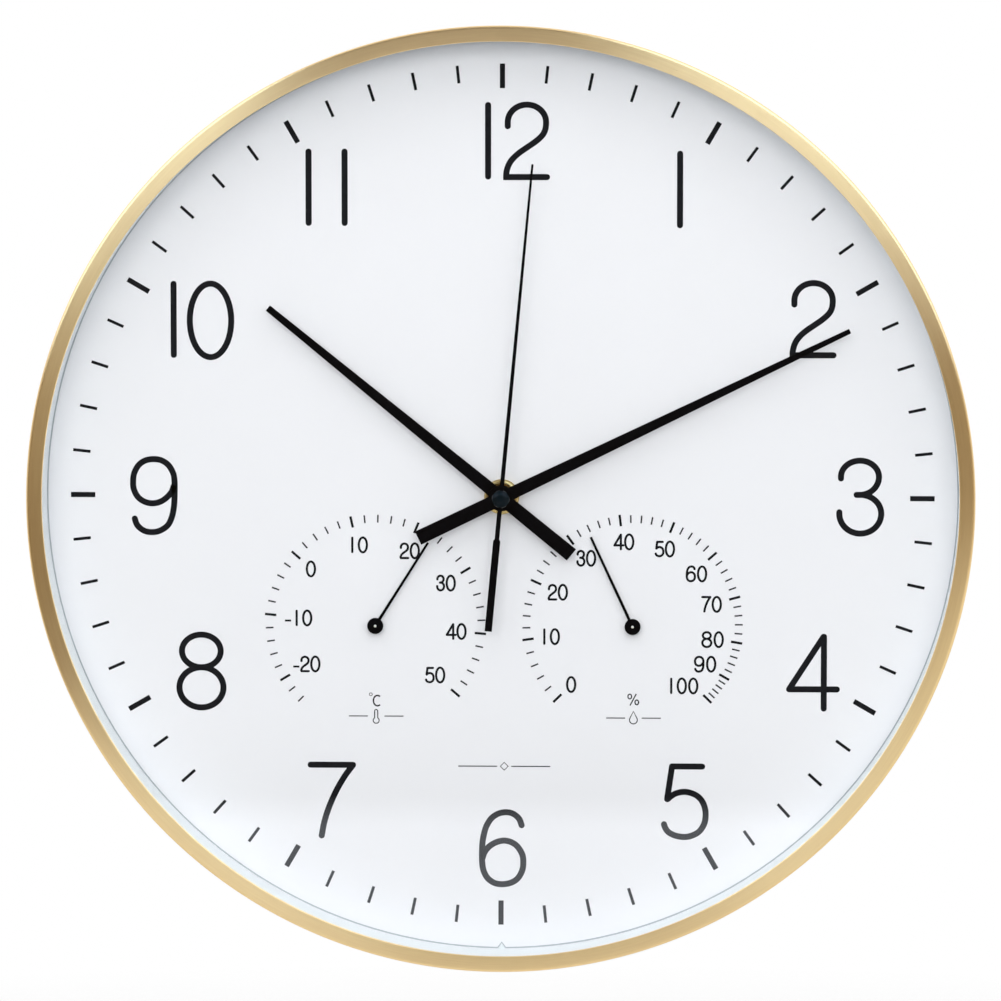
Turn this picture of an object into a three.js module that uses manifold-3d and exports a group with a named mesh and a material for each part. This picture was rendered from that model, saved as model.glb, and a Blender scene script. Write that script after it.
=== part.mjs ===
// Wall clock with a thermometer and a hygrometer set into its dial.
//
// Units are millimetres. +Z is up, the dial faces -Y and the wall is the plane y = 0.
// "fore" is a distance from the wall towards the viewer, so y = -fore.
// Angles on the dial are degrees clockwise from 12 o'clock.
// The origin lies on the wall, on the axis of the screw that the clock hangs from.

import * as THREE from "three";
import { mergeVertices } from "three/addons/utils/BufferGeometryUtils.js";
import Module from "manifold-3d";

const wasm = await Module();
wasm.setup();

// Overall sizes and the depth stack
const rimRadius = 150;
const dialSetback = 20;
const glassThickness = 2;
const dialThickness = 1;
const stackPlay = 0.2;
const hangInset = 46;

// Clearances shared by many pieces
const radialPlay = 0.3;
const runningPlay = 0.15;
const endPlay = 0.2;
const seatGap = 0.05;
const overrun = 1;

// Spun frame
const hoopWall = 1.2;
const lipWidth = 5;
const lipThickness = 1.2;
const rimRounding = 0.8;
const rolledWidth = 3.5;
const rolledThickness = 1.2;

// Ring between the glass and the dial
const spacerWall = 3.15;
const keyWidth = 3.2;
const keyHeight = 1.7;
const keyThickness = 1.5;
const keyRoot = 0.8;

// Moulded back
const floorSetback = 3;
const floorThickness = 2;
const flangeWidth = 10;
const flangeSlope = 2;
const flangeThickness = 2;
const clampInset = 3.4;
const clampWall = 2;
const windowMargin = 0.8;
const collarWall = 1.6;
const collarHeight = 5;
const ribCount = 12;
const ribWall = 1.6;
const ribHeight = 3;
const ribInset = 18;
const slotCount = 5;
const slotLength = 18;
const slotWidth = 2.2;
const slotPitch = 4.4;
const keyholeEntryRadius = 5;
const keyholeSlotRadius = 2.5;
const keyholeDrop = 8;
const keyholePadWidth = 22;
const keyholePadBorder = 6;
const keyholePadHeight = 2;

// Quartz movement: housing
const movementSetback = 2.5;
const movementCorner = 3;
const shellWall = 1.2;
const coverThickness = 1.2;
const bossRadius = 1.5;
const bossHeight = 1.5;
const gasketThickness = 0.4;
const gasketRadius = 12;

// Quartz movement: bushing, washer and nut
const bushingPlay = 0.25;
const bushingWall = 1.25;
const bushingReach = 3;
const bushingFlangeWidth = 1.2;
const bushingFlangeThickness = 0.8;
const washerWidth = 1.6;
const washerThickness = 0.5;
const nutWall = 1.35;
const nutThickness = 1.7;
const nutChamfer = 0.4;

// Quartz movement: arbors and pipes
const arborRadius = 0.5;
const minutePipePlay = 0.25;
const minutePipeWall = 0.85;
const hourPipePlay = 0.2;
const hourPipeWall = 0.7;
const pipeFlangeWidth = 0.7;
const pipeFlangeThickness = 0.5;
const clutchWidth = 1.6;
const clutchThickness = 0.4;
const studRadius = 0.6;

// Quartz movement: teeth
const toothTipShare = 0.13;
const toothRootShare = 0.24;
const addendumShare = 0.72;
const dedendumShare = 0.95;
const rotorModule = 0.4;
const secondsModule = 0.483;
const thirdModule = 0.4;
const motionModule = 0.42;
const rotorPinionTeeth = 6;
const fifthWheelTeeth = 30;
const fifthPinionTeeth = 6;
const secondsWheelTeeth = 36;
const secondsPinionTeeth = 6;
const thirdWheelTeeth = 45;
const thirdPinionTeeth = 6;
const centreGearTeeth = 48;
const cannonPinionTeeth = 10;
const motionWheelTeeth = 30;
const motionPinionTeeth = 8;
const hourWheelTeeth = 32;
const settingGearTeeth = 10;
const fifthDirection = 330;
const rotorDirection = 315;
const thirdDirection = 60;
const motionDirection = 250;
const settingDirection = 270;
const wheelThickness = 0.6;
const motionThickness = 0.8;
const layerGap = 0.35;
const roomMargin = 1.56;

// Quartz movement: electrics
const magnetRadius = 2.4;
const magnetThickness = 1.6;
const rotorAirGap = 0.6;
const statorThickness = 0.8;
const statorNeck = 0.8;
const statorLegWidth = 3.4;
const coilLength = 15;
const coilRadius = 3.2;
const coilFlangeWidth = 0.5;
const coilFloorGap = 2.15;
const coilFlangeThickness = 0.8;
const coreThickness = 0.8;
const boardWidth = 22;
const boardHeight = 12;
const boardThickness = 1;
const boardMargin = 1;
const chipRadius = 3;
const chipHeight = 1.1;
const crystalRadius = 1;
const crystalLength = 6;

// Quartz movement: battery bay and setting knob
const batteryRadius = 7.1;
const batteryLength = 49.3;
const nippleRadius = 2.75;
const nippleLength = 1.2;
const contactThickness = 0.4;
const contactWidth = 9;
const contactBump = 1;
const bayPlay = 0.25;
const bayWall = 1.85;
const batteryRecess = 0.3;
const partitionWall = 1.2;
const knobRadius = 5;
const knobThickness = 1.6;
const knobFlutes = 12;
const fluteDepth = 0.35;
const knobArborRadius = 1;

// Hands
const handThickness = 0.5;
const hourHandGap = 1.3;
const minuteHandGap = 1.7;
const secondHandGap = 1.6;
const hourHandAngle = 309.1;
const minuteHandAngle = 64.4;
const secondHandAngle = 5.4;
const hourHandMargin = 49.75;
const hourHandTail = 28.8;
const hourHandTipWidth = 1.85;
const minuteHandMargin = 22.55;
const minuteHandTail = 29.3;
const minuteHandTipWidth = 1.3;
const bladeRootWidth = 3.95;
const bladeShoulderWidth = 4.15;
const bladeTailWidth = 4.45;
const handDiscWidth = 1.6;
const colletWall = 0.8;
const secondHandMargin = 38.65;
const secondHandTail = 42.5;
const secondHandRootWidth = 1.17;
const secondHandTipWidth = 0.58;
const secondHandRodWidth = 1.27;
const weightStart = 13;
const weightWidth = 2.02;
const weightShoulder = 1.2;
const secondHandThickness = 0.3;
const secondDiscRadius = 2.2;
const capRadius = 2.85;
const capHeight = 1.7;
const capDepth = 0.6;

// Thermometer and hygrometer
const instrumentRise = 1.6;
const thermometerInset = 2.65;
const hygrometerInset = 1.2;
const thermometerAngle = 32.3;
const hygrometerAngle = 335;
const cupRadius = 15;
const cupFlangeWidth = 2;
const cupFloorGap = 4.95;
const cupWall = 1;
const cupBossRadius = 2;
const cupBossHeight = 2;
const cupSlotCount = 4;
const cupSlotWidth = 2;
const cupSlotMargin = 3.5;
const coilTurns = 3;
const springInnerRadius = 2.3;
const springStrip = 0.3;
const springHeadroom = 1.8;
const instrumentArborRadius = 0.6;
const springCollarRadius = 1.7;
const pointerGap = 1.5;
const pointerThickness = 0.4;
const pointerLength = 31.6;
const pointerRootWidth = 0.72;
const pointerTipWidth = 0.55;
const pointerHubRadius = 2.55;
const pointerHubHeight = 1.2;

// Facets per full turn
const rimSteps = 64;
const cupSteps = 20;
const hubSteps = 20;
const boreSteps = 12;
const roundingSteps = 2;
const springStepsPerTurn = 12;

// Radii of the pipes, one inside the other, from the arbor of the second hand outwards
const minutePipeBoreRadius = arborRadius + minutePipePlay;
const minutePipeRadius = minutePipeBoreRadius + minutePipeWall;
const hourPipeBoreRadius = minutePipeRadius + hourPipePlay;
const hourPipeRadius = hourPipeBoreRadius + hourPipeWall;
const bushingBoreRadius = hourPipeRadius + bushingPlay;
const bushingRadius = bushingBoreRadius + bushingWall;

// Levels inside the movement, from its rear wall forwards
const shellFloor = movementSetback + shellWall;
const coilFlangeRadius = coilRadius + coilFlangeWidth;
const coreRear = shellFloor + coilFloorGap + coilFlangeRadius - coreThickness / 2;
const coreFore = coreRear + coreThickness;
const statorFore = coreRear - seatGap;
const statorMiddle = statorFore - statorThickness / 2;
const magnetLayer = layerFrom(statorMiddle - magnetThickness / 2, magnetThickness);
const fifthLayer = layerFrom(magnetLayer.fore + layerGap, wheelThickness);
const secondsLayer = layerFrom(fifthLayer.fore + layerGap, wheelThickness);
const thirdLayer = layerFrom(secondsLayer.fore + layerGap, wheelThickness);
const pipeFlangeRear = thirdLayer.fore + layerGap;
const pipeFlangeFore = pipeFlangeRear + pipeFlangeThickness;
const centreLayer = layerFrom(pipeFlangeFore + seatGap, wheelThickness);
const clutchRear = centreLayer.fore + seatGap;
const clutchFore = clutchRear + clutchThickness;
const motionLayer = layerFrom(clutchFore + seatGap, motionThickness);
const hourLayer = layerFrom(motionLayer.fore + layerGap, wheelThickness);

// The cover clears both the wheels and the battery, and the dial lies on the cover's gasket.
const trainRoom = hourLayer.fore + layerGap + bushingFlangeThickness + seatGap;
const batteryRoom = movementSetback + batteryRecess + 2 * batteryRadius + bayPlay + seatGap;
const coverRear = Math.max(trainRoom, batteryRoom);
const coverFore = coverRear + coverThickness;
const dialRear = coverFore + gasketThickness + 2 * seatGap;
const dialFore = dialRear + dialThickness;

// Levels in front of the dial, up to the front of the frame
const bushingFore = dialFore + bushingReach;
const hourHandRear = bushingFore + hourHandGap;
const hourHandFore = hourHandRear + handThickness;
const minuteHandRear = hourHandFore + minuteHandGap;
const minuteHandFore = minuteHandRear + handThickness;
const secondHandRear = minuteHandFore + secondHandGap;
const secondHandFore = secondHandRear + secondHandThickness;
const caseDepth = dialFore + dialSetback;
const lipRear = caseDepth - lipThickness;
const glassFore = lipRear - stackPlay;
const glassRear = glassFore - glassThickness;

function layerFrom(rear, thickness) {
  return { rear, fore: rear + thickness };
}

// A point at a radius and a clockwise direction, as [x, z].
function polar(radius, degrees) {
  const angle = THREE.MathUtils.degToRad(degrees);
  return [radius * Math.sin(angle), radius * Math.cos(angle)];
}

function offsetFrom([x, z], radius, degrees) {
  const [dx, dz] = polar(radius, degrees);
  return [x + dx, z + dz];
}

function wound(points, clockwise) {
  const vectors = points.map(([x, z]) => new THREE.Vector2(x, z));
  return THREE.ShapeUtils.isClockWise(vectors) === clockwise ? vectors : vectors.reverse();
}

function outline(points, holes = []) {
  const shape = new THREE.Shape(wound(points, false));
  shape.holes = holes.map((hole) => new THREE.Path(wound(hole, true)));
  return shape;
}

function ring(radius, steps, [x, z] = [0, 0]) {
  const points = [];
  for (let step = 0; step < steps; step++) {
    points.push(offsetFrom([x, z], radius, (360 * step) / steps));
  }
  return points;
}

function rectangle(left, right, low, high) {
  return [
    [left, low],
    [right, low],
    [right, high],
    [left, high],
  ];
}

function roundedRectangle(width, height, radius, steps = roundingSteps) {
  const x = width / 2 - radius;
  const z = height / 2 - radius;
  const corners = [
    [x, z, 0],
    [x, -z, 90],
    [-x, -z, 180],
    [-x, z, 270],
  ];
  const points = [];
  for (const [cx, cz, start] of corners) {
    for (let step = 0; step <= steps; step++) {
      points.push(offsetFrom([cx, cz], radius, start + (90 * step) / steps));
    }
  }
  return points;
}

// Extrudes an upright outline from one distance in front of the wall to another.
const standUp = new THREE.Matrix4().set(1, 0, 0, 0, 0, 0, -1, 0, 0, 1, 0, 0, 0, 0, 0, 1);
function plate(shape, rear, fore) {
  const flat = Array.isArray(shape) ? outline(shape) : shape;
  const geometry = new THREE.ExtrudeGeometry(flat, { depth: fore - rear, bevelEnabled: false });
  return geometry.translate(0, 0, rear).applyMatrix4(standUp);
}

// Revolves [radius, fore] points about the clock's axis, which is parallel to Y.
function turned(points, steps) {
  const profile = points.map(([radius, fore]) => new THREE.Vector2(radius, -fore));
  let area = 0;
  profile.forEach((a, i) => {
    const b = profile[(i + 1) % profile.length];
    area += a.x * b.y - b.x * a.y;
  });
  if (area < 0) profile.reverse();
  const open = profile[0].x > 0 || profile[profile.length - 1].x > 0;
  if (open) profile.push(profile[0].clone());
  return new THREE.LatheGeometry(profile, steps);
}

function tube(innerRadius, outerRadius, rear, fore, steps = hubSteps) {
  return plate(outline(ring(outerRadius, steps), [ring(innerRadius, steps)]), rear, fore);
}

function disc(radius, rear, fore, steps = hubSteps, centre = [0, 0]) {
  return plate(ring(radius, steps, centre), rear, fore);
}

function toSolid(geometry) {
  const bare = geometry.clone();
  bare.deleteAttribute("normal");
  bare.deleteAttribute("uv");
  const merged = mergeVertices(bare);
  return new wasm.Manifold(
    new wasm.Mesh({
      numProp: 3,
      vertProperties: merged.attributes.position.array,
      triVerts: new Uint32Array(merged.index.array),
    }),
  );
}

function toGeometry(solid) {
  const mesh = solid.getMesh();
  const geometry = new THREE.BufferGeometry();
  geometry.setAttribute("position", new THREE.BufferAttribute(mesh.vertProperties, 3));
  geometry.setIndex(new THREE.BufferAttribute(mesh.triVerts, 1));
  return geometry;
}

function join(...geometries) {
  return toGeometry(geometries.map(toSolid).reduce((a, b) => a.add(b)));
}

function cut(geometry, ...tools) {
  return toGeometry(tools.map(toSolid).reduce((a, b) => a.subtract(b), toSolid(geometry)));
}

function piece(parent, name, geometry, material) {
  const mesh = new THREE.Mesh(geometry, material);
  mesh.name = name;
  parent.add(mesh);
  return mesh;
}

function groupAt(parent, [x, z] = [0, 0], degrees = 0) {
  const group = new THREE.Group();
  group.position.set(x, 0, z);
  group.rotation.y = THREE.MathUtils.degToRad(degrees);
  parent.add(group);
  return group;
}

function finish(color, roughness, metalness = 0) {
  return new THREE.MeshStandardMaterial({ color, roughness, metalness, flatShading: true });
}

const gold = finish(0xd8bf92, 0.32, 1);
const clearGlass = new THREE.MeshStandardMaterial({
  color: 0xf4faf8,
  roughness: 0.05,
  transparent: true,
  opacity: 0.2,
});
const whitePlastic = finish(0xe9f1f3, 0.45);
const dialWhite = finish(0xeef0f4, 0.55);
const greyPlastic = finish(0x3b3d40, 0.6);
const blackPlastic = finish(0x1b1c1e, 0.5);
const blackLacquer = finish(0x0b0b0d, 0.35);
const brass = finish(0xc9a85a, 0.3, 1);
const steel = finish(0xb9bcc0, 0.35, 1);
const rubber = finish(0x1a1a1a, 0.9);
const gearPlastic = finish(0xe8e2d2, 0.5);
const copper = finish(0xb5673a, 0.4, 1);
const boardGreen = finish(0x1f5d3a, 0.6);
const magnetGrey = finish(0x4c4f55, 0.5, 0.6);
const batteryShell = finish(0x2f4f7a, 0.4, 0.3);

const clock = new THREE.Group();
const face = new THREE.Group();
const hangHeight = rimRadius - hangInset;
face.position.z = -hangHeight;
clock.add(face);

// Frame: a spun hoop with a flat lip over the glass and a rear edge rolled in behind the back.
const hoopInnerRadius = rimRadius - hoopWall;
const lipInnerRadius = rimRadius - lipWidth;
const rimProfile = [[lipInnerRadius, caseDepth]];
for (let step = 0; step <= roundingSteps; step++) {
  const [out, ahead] = polar(rimRounding, (90 * step) / roundingSteps);
  rimProfile.push([rimRadius - rimRounding + out, caseDepth - rimRounding + ahead]);
}
rimProfile.push(
  [rimRadius, rimRounding],
  [rimRadius - rimRounding, 0],
  [rimRadius - rolledWidth, 0],
  [rimRadius - rolledWidth, rolledThickness],
  [hoopInnerRadius, rolledThickness],
  [hoopInnerRadius, lipRear],
  [lipInnerRadius, lipRear],
);
piece(face, "bezel_frame", turned(rimProfile, rimSteps), gold);

// Glass, spacer ring and dial, clamped one behind the other inside the hoop.
const stackRadius = hoopInnerRadius - radialPlay;
piece(face, "glass_lens", disc(stackRadius, glassRear, glassFore, rimSteps), clearGlass);

const spacerInnerRadius = stackRadius - spacerWall;
const spacerRear = dialFore + stackPlay;
const keyBase = -(spacerInnerRadius + keyRoot);
const keyOutline = [
  [-keyWidth / 2, keyBase],
  [keyWidth / 2, keyBase],
  [keyWidth / 2, keyBase + keyRoot],
  [0, keyBase + keyRoot + keyHeight],
  [-keyWidth / 2, keyBase + keyRoot],
];
piece(
  face,
  "spacer_ring",
  join(
    tube(spacerInnerRadius, stackRadius, spacerRear, glassRear - stackPlay, rimSteps),
    plate(keyOutline, spacerRear, spacerRear + keyThickness),
  ),
  whitePlastic,
);

// The movement is as wide as its battery bay and as high as the wheel room and the bay under it.
const batteryTotal = batteryLength + nippleLength;
const bayHalfLength = batteryTotal / 2 + contactThickness + 2 * bayPlay;
const movementWidth = 2 * (bayHalfLength + bayWall);
const centreModule =
  (thirdModule * (secondsPinionTeeth + thirdWheelTeeth)) / (thirdPinionTeeth + centreGearTeeth);
const roomLow = -(centreModule * (centreGearTeeth / 2 + addendumShare) + roomMargin);
const bayHigh = roomLow - partitionWall;
const bayLow = bayHigh - 2 * (batteryRadius + bayPlay);
const movementHeight = 2 * (shellWall - bayLow);

// Each instrument's cup lies beside and below a lower corner of the movement.
const instrumentDrop = movementHeight / 2 + cupRadius - instrumentRise;
const thermometerOffset = movementWidth / 2 + cupRadius - thermometerInset;
const hygrometerOffset = movementWidth / 2 + cupRadius - hygrometerInset;
const thermometerCentre = [-thermometerOffset, -instrumentDrop];
const hygrometerCentre = [hygrometerOffset, -instrumentDrop];
const instrumentBoreRadius = instrumentArborRadius + radialPlay;
const dialHoles = [
  ring(bushingRadius + radialPlay, hubSteps),
  ring(instrumentBoreRadius, boreSteps, thermometerCentre),
  ring(instrumentBoreRadius, boreSteps, hygrometerCentre),
];
piece(
  face,
  "dial_plate",
  plate(outline(ring(stackRadius, rimSteps), dialHoles), dialRear, dialFore),
  dialWhite,
);

// Moulded back: a rimmed floor, a wall that clamps the dial, ribs, and a collar for the movement.
const flangeRear = rolledThickness + stackPlay;
const floorFore = floorSetback + floorThickness;
const clampOuterRadius = stackRadius - clampInset;
const clampInnerRadius = clampOuterRadius - clampWall;
const backProfile = [
  [0, floorSetback],
  [stackRadius - flangeWidth - flangeSlope, floorSetback],
  [stackRadius - flangeWidth, flangeRear],
  [stackRadius, flangeRear],
  [stackRadius, flangeRear + flangeThickness],
  [clampOuterRadius, flangeRear + flangeThickness],
  [clampOuterRadius, dialRear - stackPlay],
  [clampInnerRadius, dialRear - stackPlay],
  [clampInnerRadius, floorFore],
  [0, floorFore],
];
const windowWidth = movementWidth + 2 * windowMargin;
const windowHeight = movementHeight + 2 * windowMargin;
const windowCorner = movementCorner + windowMargin;
const collarWidth = windowWidth + 2 * collarWall;
const collarLength = windowHeight + 2 * collarWall;
const collarCorner = windowCorner + collarWall;
const ribInnerRadius = movementHeight / 2 + ribInset;
const backAdditions = [
  plate(
    roundedRectangle(collarWidth, collarLength, collarCorner),
    floorSetback + seatGap,
    floorFore + collarHeight,
  ),
];
for (let rib = 0; rib < ribCount; rib++) {
  const bar = plate(
    rectangle(-ribWall / 2, ribWall / 2, ribInnerRadius, clampInnerRadius + seatGap),
    floorSetback + seatGap,
    floorFore + ribHeight,
  );
  bar.rotateY(THREE.MathUtils.degToRad((360 * (rib + 0.5)) / ribCount));
  backAdditions.push(bar);
}
const padHeight = 2 * (keyholeEntryRadius + keyholePadBorder) + keyholeDrop;
const pad = plate(
  roundedRectangle(keyholePadWidth, padHeight, keyholePadBorder),
  floorSetback + seatGap,
  floorFore + keyholePadHeight,
);
backAdditions.push(pad.translate(0, 0, hangHeight - keyholeDrop / 2));

const throughRear = floorSetback - overrun;
const throughFore = floorFore + collarHeight + overrun;
const keyholeEntry = [0, hangHeight - keyholeDrop];
const backCuts = [
  plate(roundedRectangle(windowWidth, windowHeight, windowCorner), throughRear, throughFore),
  disc(keyholeEntryRadius, throughRear, throughFore, hubSteps, keyholeEntry),
  disc(keyholeSlotRadius, throughRear, throughFore, hubSteps, [0, hangHeight]),
  plate(
    rectangle(-keyholeSlotRadius, keyholeSlotRadius, hangHeight - keyholeDrop, hangHeight),
    throughRear,
    throughFore,
  ),
];
for (const [x, z] of [thermometerCentre, hygrometerCentre]) {
  for (let slot = 0; slot < slotCount; slot++) {
    const air = plate(
      roundedRectangle(slotLength, slotWidth, slotWidth / 2, 1),
      throughRear,
      throughFore,
    );
    backCuts.push(air.translate(x, 0, z + slotPitch * (slot - (slotCount - 1) / 2)));
  }
}
const backShell = join(turned(backProfile, rimSteps), ...backAdditions);
piece(face, "back_case", cut(backShell, ...backCuts), greyPlastic);

// Movement: places of the arbors, each a working centre distance from the wheel it meshes with.
const centre = [0, 0];
const motionDistance = meshDistance(motionModule, cannonPinionTeeth, motionWheelTeeth);
const hourModule =
  (motionModule * (cannonPinionTeeth + motionWheelTeeth)) / (motionPinionTeeth + hourWheelTeeth);
const fifthPlace = offsetFrom(
  centre,
  meshDistance(secondsModule, secondsWheelTeeth, fifthPinionTeeth),
  fifthDirection,
);
const rotorPlace = offsetFrom(
  fifthPlace,
  meshDistance(rotorModule, fifthWheelTeeth, rotorPinionTeeth),
  rotorDirection,
);
const thirdPlace = offsetFrom(
  centre,
  meshDistance(thirdModule, secondsPinionTeeth, thirdWheelTeeth),
  thirdDirection,
);
const motionPlace = offsetFrom(centre, motionDistance, motionDirection);
const settingPlace = offsetFrom(
  motionPlace,
  meshDistance(motionModule, motionWheelTeeth, settingGearTeeth),
  settingDirection,
);

function meshDistance(module, teethA, teethB) {
  return (module * (teethA + teethB)) / 2;
}

// Turn of a gear that puts its tooth space on the tooth of the gear it meshes with.
function meshTurn(teeth, place, drivingTeeth, drivingPlace, drivingTurn) {
  const direction = THREE.MathUtils.radToDeg(
    Math.atan2(place[0] - drivingPlace[0], place[1] - drivingPlace[1]),
  );
  const lead = ((drivingTurn - direction) * drivingTeeth) / teeth;
  return direction + 180 + 180 / teeth - lead;
}

const secondsTurn = 0;
const fifthTurn = meshTurn(fifthPinionTeeth, fifthPlace, secondsWheelTeeth, centre, secondsTurn);
const rotorTurn = meshTurn(rotorPinionTeeth, rotorPlace, fifthWheelTeeth, fifthPlace, fifthTurn);
const thirdTurn = meshTurn(thirdWheelTeeth, thirdPlace, secondsPinionTeeth, centre, secondsTurn);
const centreTurn = meshTurn(centreGearTeeth, centre, thirdPinionTeeth, thirdPlace, thirdTurn);
const cannonTurn = 0;
const motionTurn = meshTurn(motionWheelTeeth, motionPlace, cannonPinionTeeth, centre, cannonTurn);
const hourTurn = meshTurn(hourWheelTeeth, centre, motionPinionTeeth, motionPlace, motionTurn);
const settingTurn = meshTurn(
  settingGearTeeth,
  settingPlace,
  motionWheelTeeth,
  motionPlace,
  motionTurn,
);

// Outline of a gear with straight-flanked teeth, the first one centred on 12 o'clock.
function gearOutline(teeth, module) {
  const pitchRadius = (module * teeth) / 2;
  const tipRadius = pitchRadius + addendumShare * module;
  const rootRadius = pitchRadius - dedendumShare * module;
  const pitchAngle = 360 / teeth;
  const points = [];
  for (let tooth = 0; tooth < teeth; tooth++) {
    const middle = tooth * pitchAngle;
    points.push(
      polar(rootRadius, middle - toothRootShare * pitchAngle),
      polar(tipRadius, middle - toothTipShare * pitchAngle),
      polar(tipRadius, middle + toothTipShare * pitchAngle),
      polar(rootRadius, middle + toothRootShare * pitchAngle),
    );
  }
  return points;
}

function gear(teeth, module, layer, boreRadius = 0) {
  const holes = boreRadius > 0 ? [ring(boreRadius, hubSteps)] : [];
  return plate(outline(gearOutline(teeth, module), holes), layer.rear, layer.fore);
}

// Movement housing: a rear shell with the gear room and the battery bay, and a front cover.
const roomHalfWidth = movementWidth / 2 - shellWall;
const roomHigh = movementHeight / 2 - shellWall;
const arborPlaces = [centre, fifthPlace, rotorPlace, thirdPlace];
const pivotBoreRadius = arborRadius + runningPlay;
const knobBoreRadius = knobArborRadius + runningPlay;

const boardLeft = roomHalfWidth - boardMargin - boardWidth;
const boardLow = roomHigh - boardMargin - boardHeight;
const boardRear = shellFloor + bossHeight + seatGap;
const boardFore = boardRear + boardThickness;
const boardPosts = [
  [boardLeft + 2 * bossRadius, boardLow + boardHeight / 2],
  [boardLeft + boardWidth - 2 * bossRadius, boardLow + boardHeight / 2],
];
const bossTop = shellFloor + bossHeight;
const shellBlock = plate(
  roundedRectangle(movementWidth, movementHeight, movementCorner),
  movementSetback,
  coverRear - seatGap,
);
const hollowShell = cut(
  shellBlock,
  plate(
    rectangle(-roomHalfWidth, roomHalfWidth, roomLow, roomHigh),
    shellFloor,
    coverRear + overrun,
  ),
  plate(
    rectangle(-bayHalfLength, bayHalfLength, bayLow, bayHigh),
    movementSetback - overrun,
    coverRear + overrun,
  ),
);
const bossedShell = join(
  hollowShell,
  ...[...arborPlaces, ...boardPosts].map((place) =>
    disc(bossRadius, shellFloor - seatGap, bossTop, boreSteps, place),
  ),
);
piece(
  face,
  "movement_case",
  cut(
    bossedShell,
    ...arborPlaces.map((place) =>
      disc(pivotBoreRadius, shellFloor, bossTop + overrun, boreSteps, place),
    ),
    disc(knobBoreRadius, movementSetback - overrun, shellFloor + overrun, boreSteps, settingPlace),
  ),
  blackPlastic,
);

const frontPivots = [fifthPlace, rotorPlace, thirdPlace];
const coverSheet = plate(
  outline(roundedRectangle(movementWidth, movementHeight, movementCorner), [
    ring(bushingRadius + runningPlay, hubSteps),
  ]),
  coverRear,
  coverFore,
);
const settingBossRadius = knobBoreRadius + bossRadius - pivotBoreRadius;
const bossedCover = join(
  coverSheet,
  ...frontPivots.map((place) =>
    disc(bossRadius, coverRear - bossHeight, coverRear + seatGap, boreSteps, place),
  ),
  disc(settingBossRadius, coverRear - bossHeight, coverRear + seatGap, boreSteps, settingPlace),
  disc(studRadius, motionLayer.rear, coverRear + seatGap, boreSteps, motionPlace),
);
piece(
  face,
  "movement_plate",
  cut(
    bossedCover,
    ...frontPivots.map((place) =>
      disc(pivotBoreRadius, coverRear - bossHeight - overrun, coverRear, boreSteps, place),
    ),
    disc(
      knobBoreRadius,
      coverRear - bossHeight - overrun,
      coverRear,
      boreSteps,
      settingPlace,
    ),
  ),
  blackPlastic,
);

// Bushing through the dial, with the gasket behind the dial and the washer and nut in front.
const bushingFlangeRadius = bushingRadius + bushingFlangeWidth;
const bushingFlangeFore = coverRear - seatGap;
const bushingFlangeRear = bushingFlangeFore - bushingFlangeThickness;
const bushingProfile = [
  [bushingBoreRadius, bushingFlangeRear],
  [bushingFlangeRadius, bushingFlangeRear],
  [bushingFlangeRadius, bushingFlangeFore],
  [bushingRadius, bushingFlangeFore],
  [bushingRadius, bushingFore],
  [bushingBoreRadius, bushingFore],
];
piece(face, "threaded_bushing", turned(bushingProfile, hubSteps), brass);

const collarBoreRadius = bushingRadius + runningPlay;
const gasketRear = coverFore + seatGap;
piece(
  face,
  "rubber_gasket",
  tube(collarBoreRadius, gasketRadius, gasketRear, gasketRear + gasketThickness),
  rubber,
);
const washerRear = dialFore + seatGap;
const washerFore = washerRear + washerThickness;
piece(
  face,
  "bushing_washer",
  tube(collarBoreRadius, bushingRadius + washerWidth, washerRear, washerFore),
  brass,
);
const nutRadius = bushingRadius + nutWall;
const nutRear = washerFore + seatGap;
const nutProfile = [
  [collarBoreRadius, nutRear],
  [nutRadius, nutRear],
  [nutRadius, nutRear + nutThickness - nutChamfer],
  [nutRadius - nutChamfer, nutRear + nutThickness],
  [collarBoreRadius, nutRear + nutThickness],
];
piece(face, "fixing_nut", turned(nutProfile, hubSteps), brass);

// Train from the rotor to the centre gear.
const pivotRear = shellFloor + endPlay;
const pivotFore = coverRear - endPlay;
const rotorGroup = groupAt(face, rotorPlace, rotorTurn);
piece(
  rotorGroup,
  "rotor",
  join(
    disc(arborRadius, pivotRear, pivotFore, boreSteps),
    disc(magnetRadius, magnetLayer.rear, magnetLayer.fore, boreSteps),
    gear(rotorPinionTeeth, rotorModule, {
      rear: magnetLayer.fore - seatGap,
      fore: fifthLayer.fore,
    }),
  ),
  magnetGrey,
);

const fifthGroup = groupAt(face, fifthPlace, fifthTurn);
piece(
  fifthGroup,
  "fifth_wheel",
  join(
    disc(arborRadius, pivotRear, pivotFore, boreSteps),
    gear(fifthWheelTeeth, rotorModule, fifthLayer),
    gear(fifthPinionTeeth, secondsModule, {
      rear: fifthLayer.fore - seatGap,
      fore: secondsLayer.fore,
    }),
  ),
  gearPlastic,
);

const capRear = secondHandFore + seatGap;
const secondsGroup = groupAt(face, centre, secondsTurn);
piece(
  secondsGroup,
  "seconds_wheel",
  join(
    disc(arborRadius, pivotRear, capRear + capDepth - endPlay, boreSteps),
    gear(secondsWheelTeeth, secondsModule, secondsLayer),
    gear(secondsPinionTeeth, thirdModule, {
      rear: secondsLayer.fore - seatGap,
      fore: thirdLayer.fore,
    }),
  ),
  gearPlastic,
);

const thirdGroup = groupAt(face, thirdPlace, thirdTurn);
piece(
  thirdGroup,
  "third_wheel",
  join(
    disc(arborRadius, pivotRear, pivotFore, boreSteps),
    gear(thirdWheelTeeth, thirdModule, thirdLayer),
    gear(thirdPinionTeeth, centreModule, {
      rear: thirdLayer.fore - seatGap,
      fore: centreLayer.fore,
    }),
  ),
  gearPlastic,
);

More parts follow.
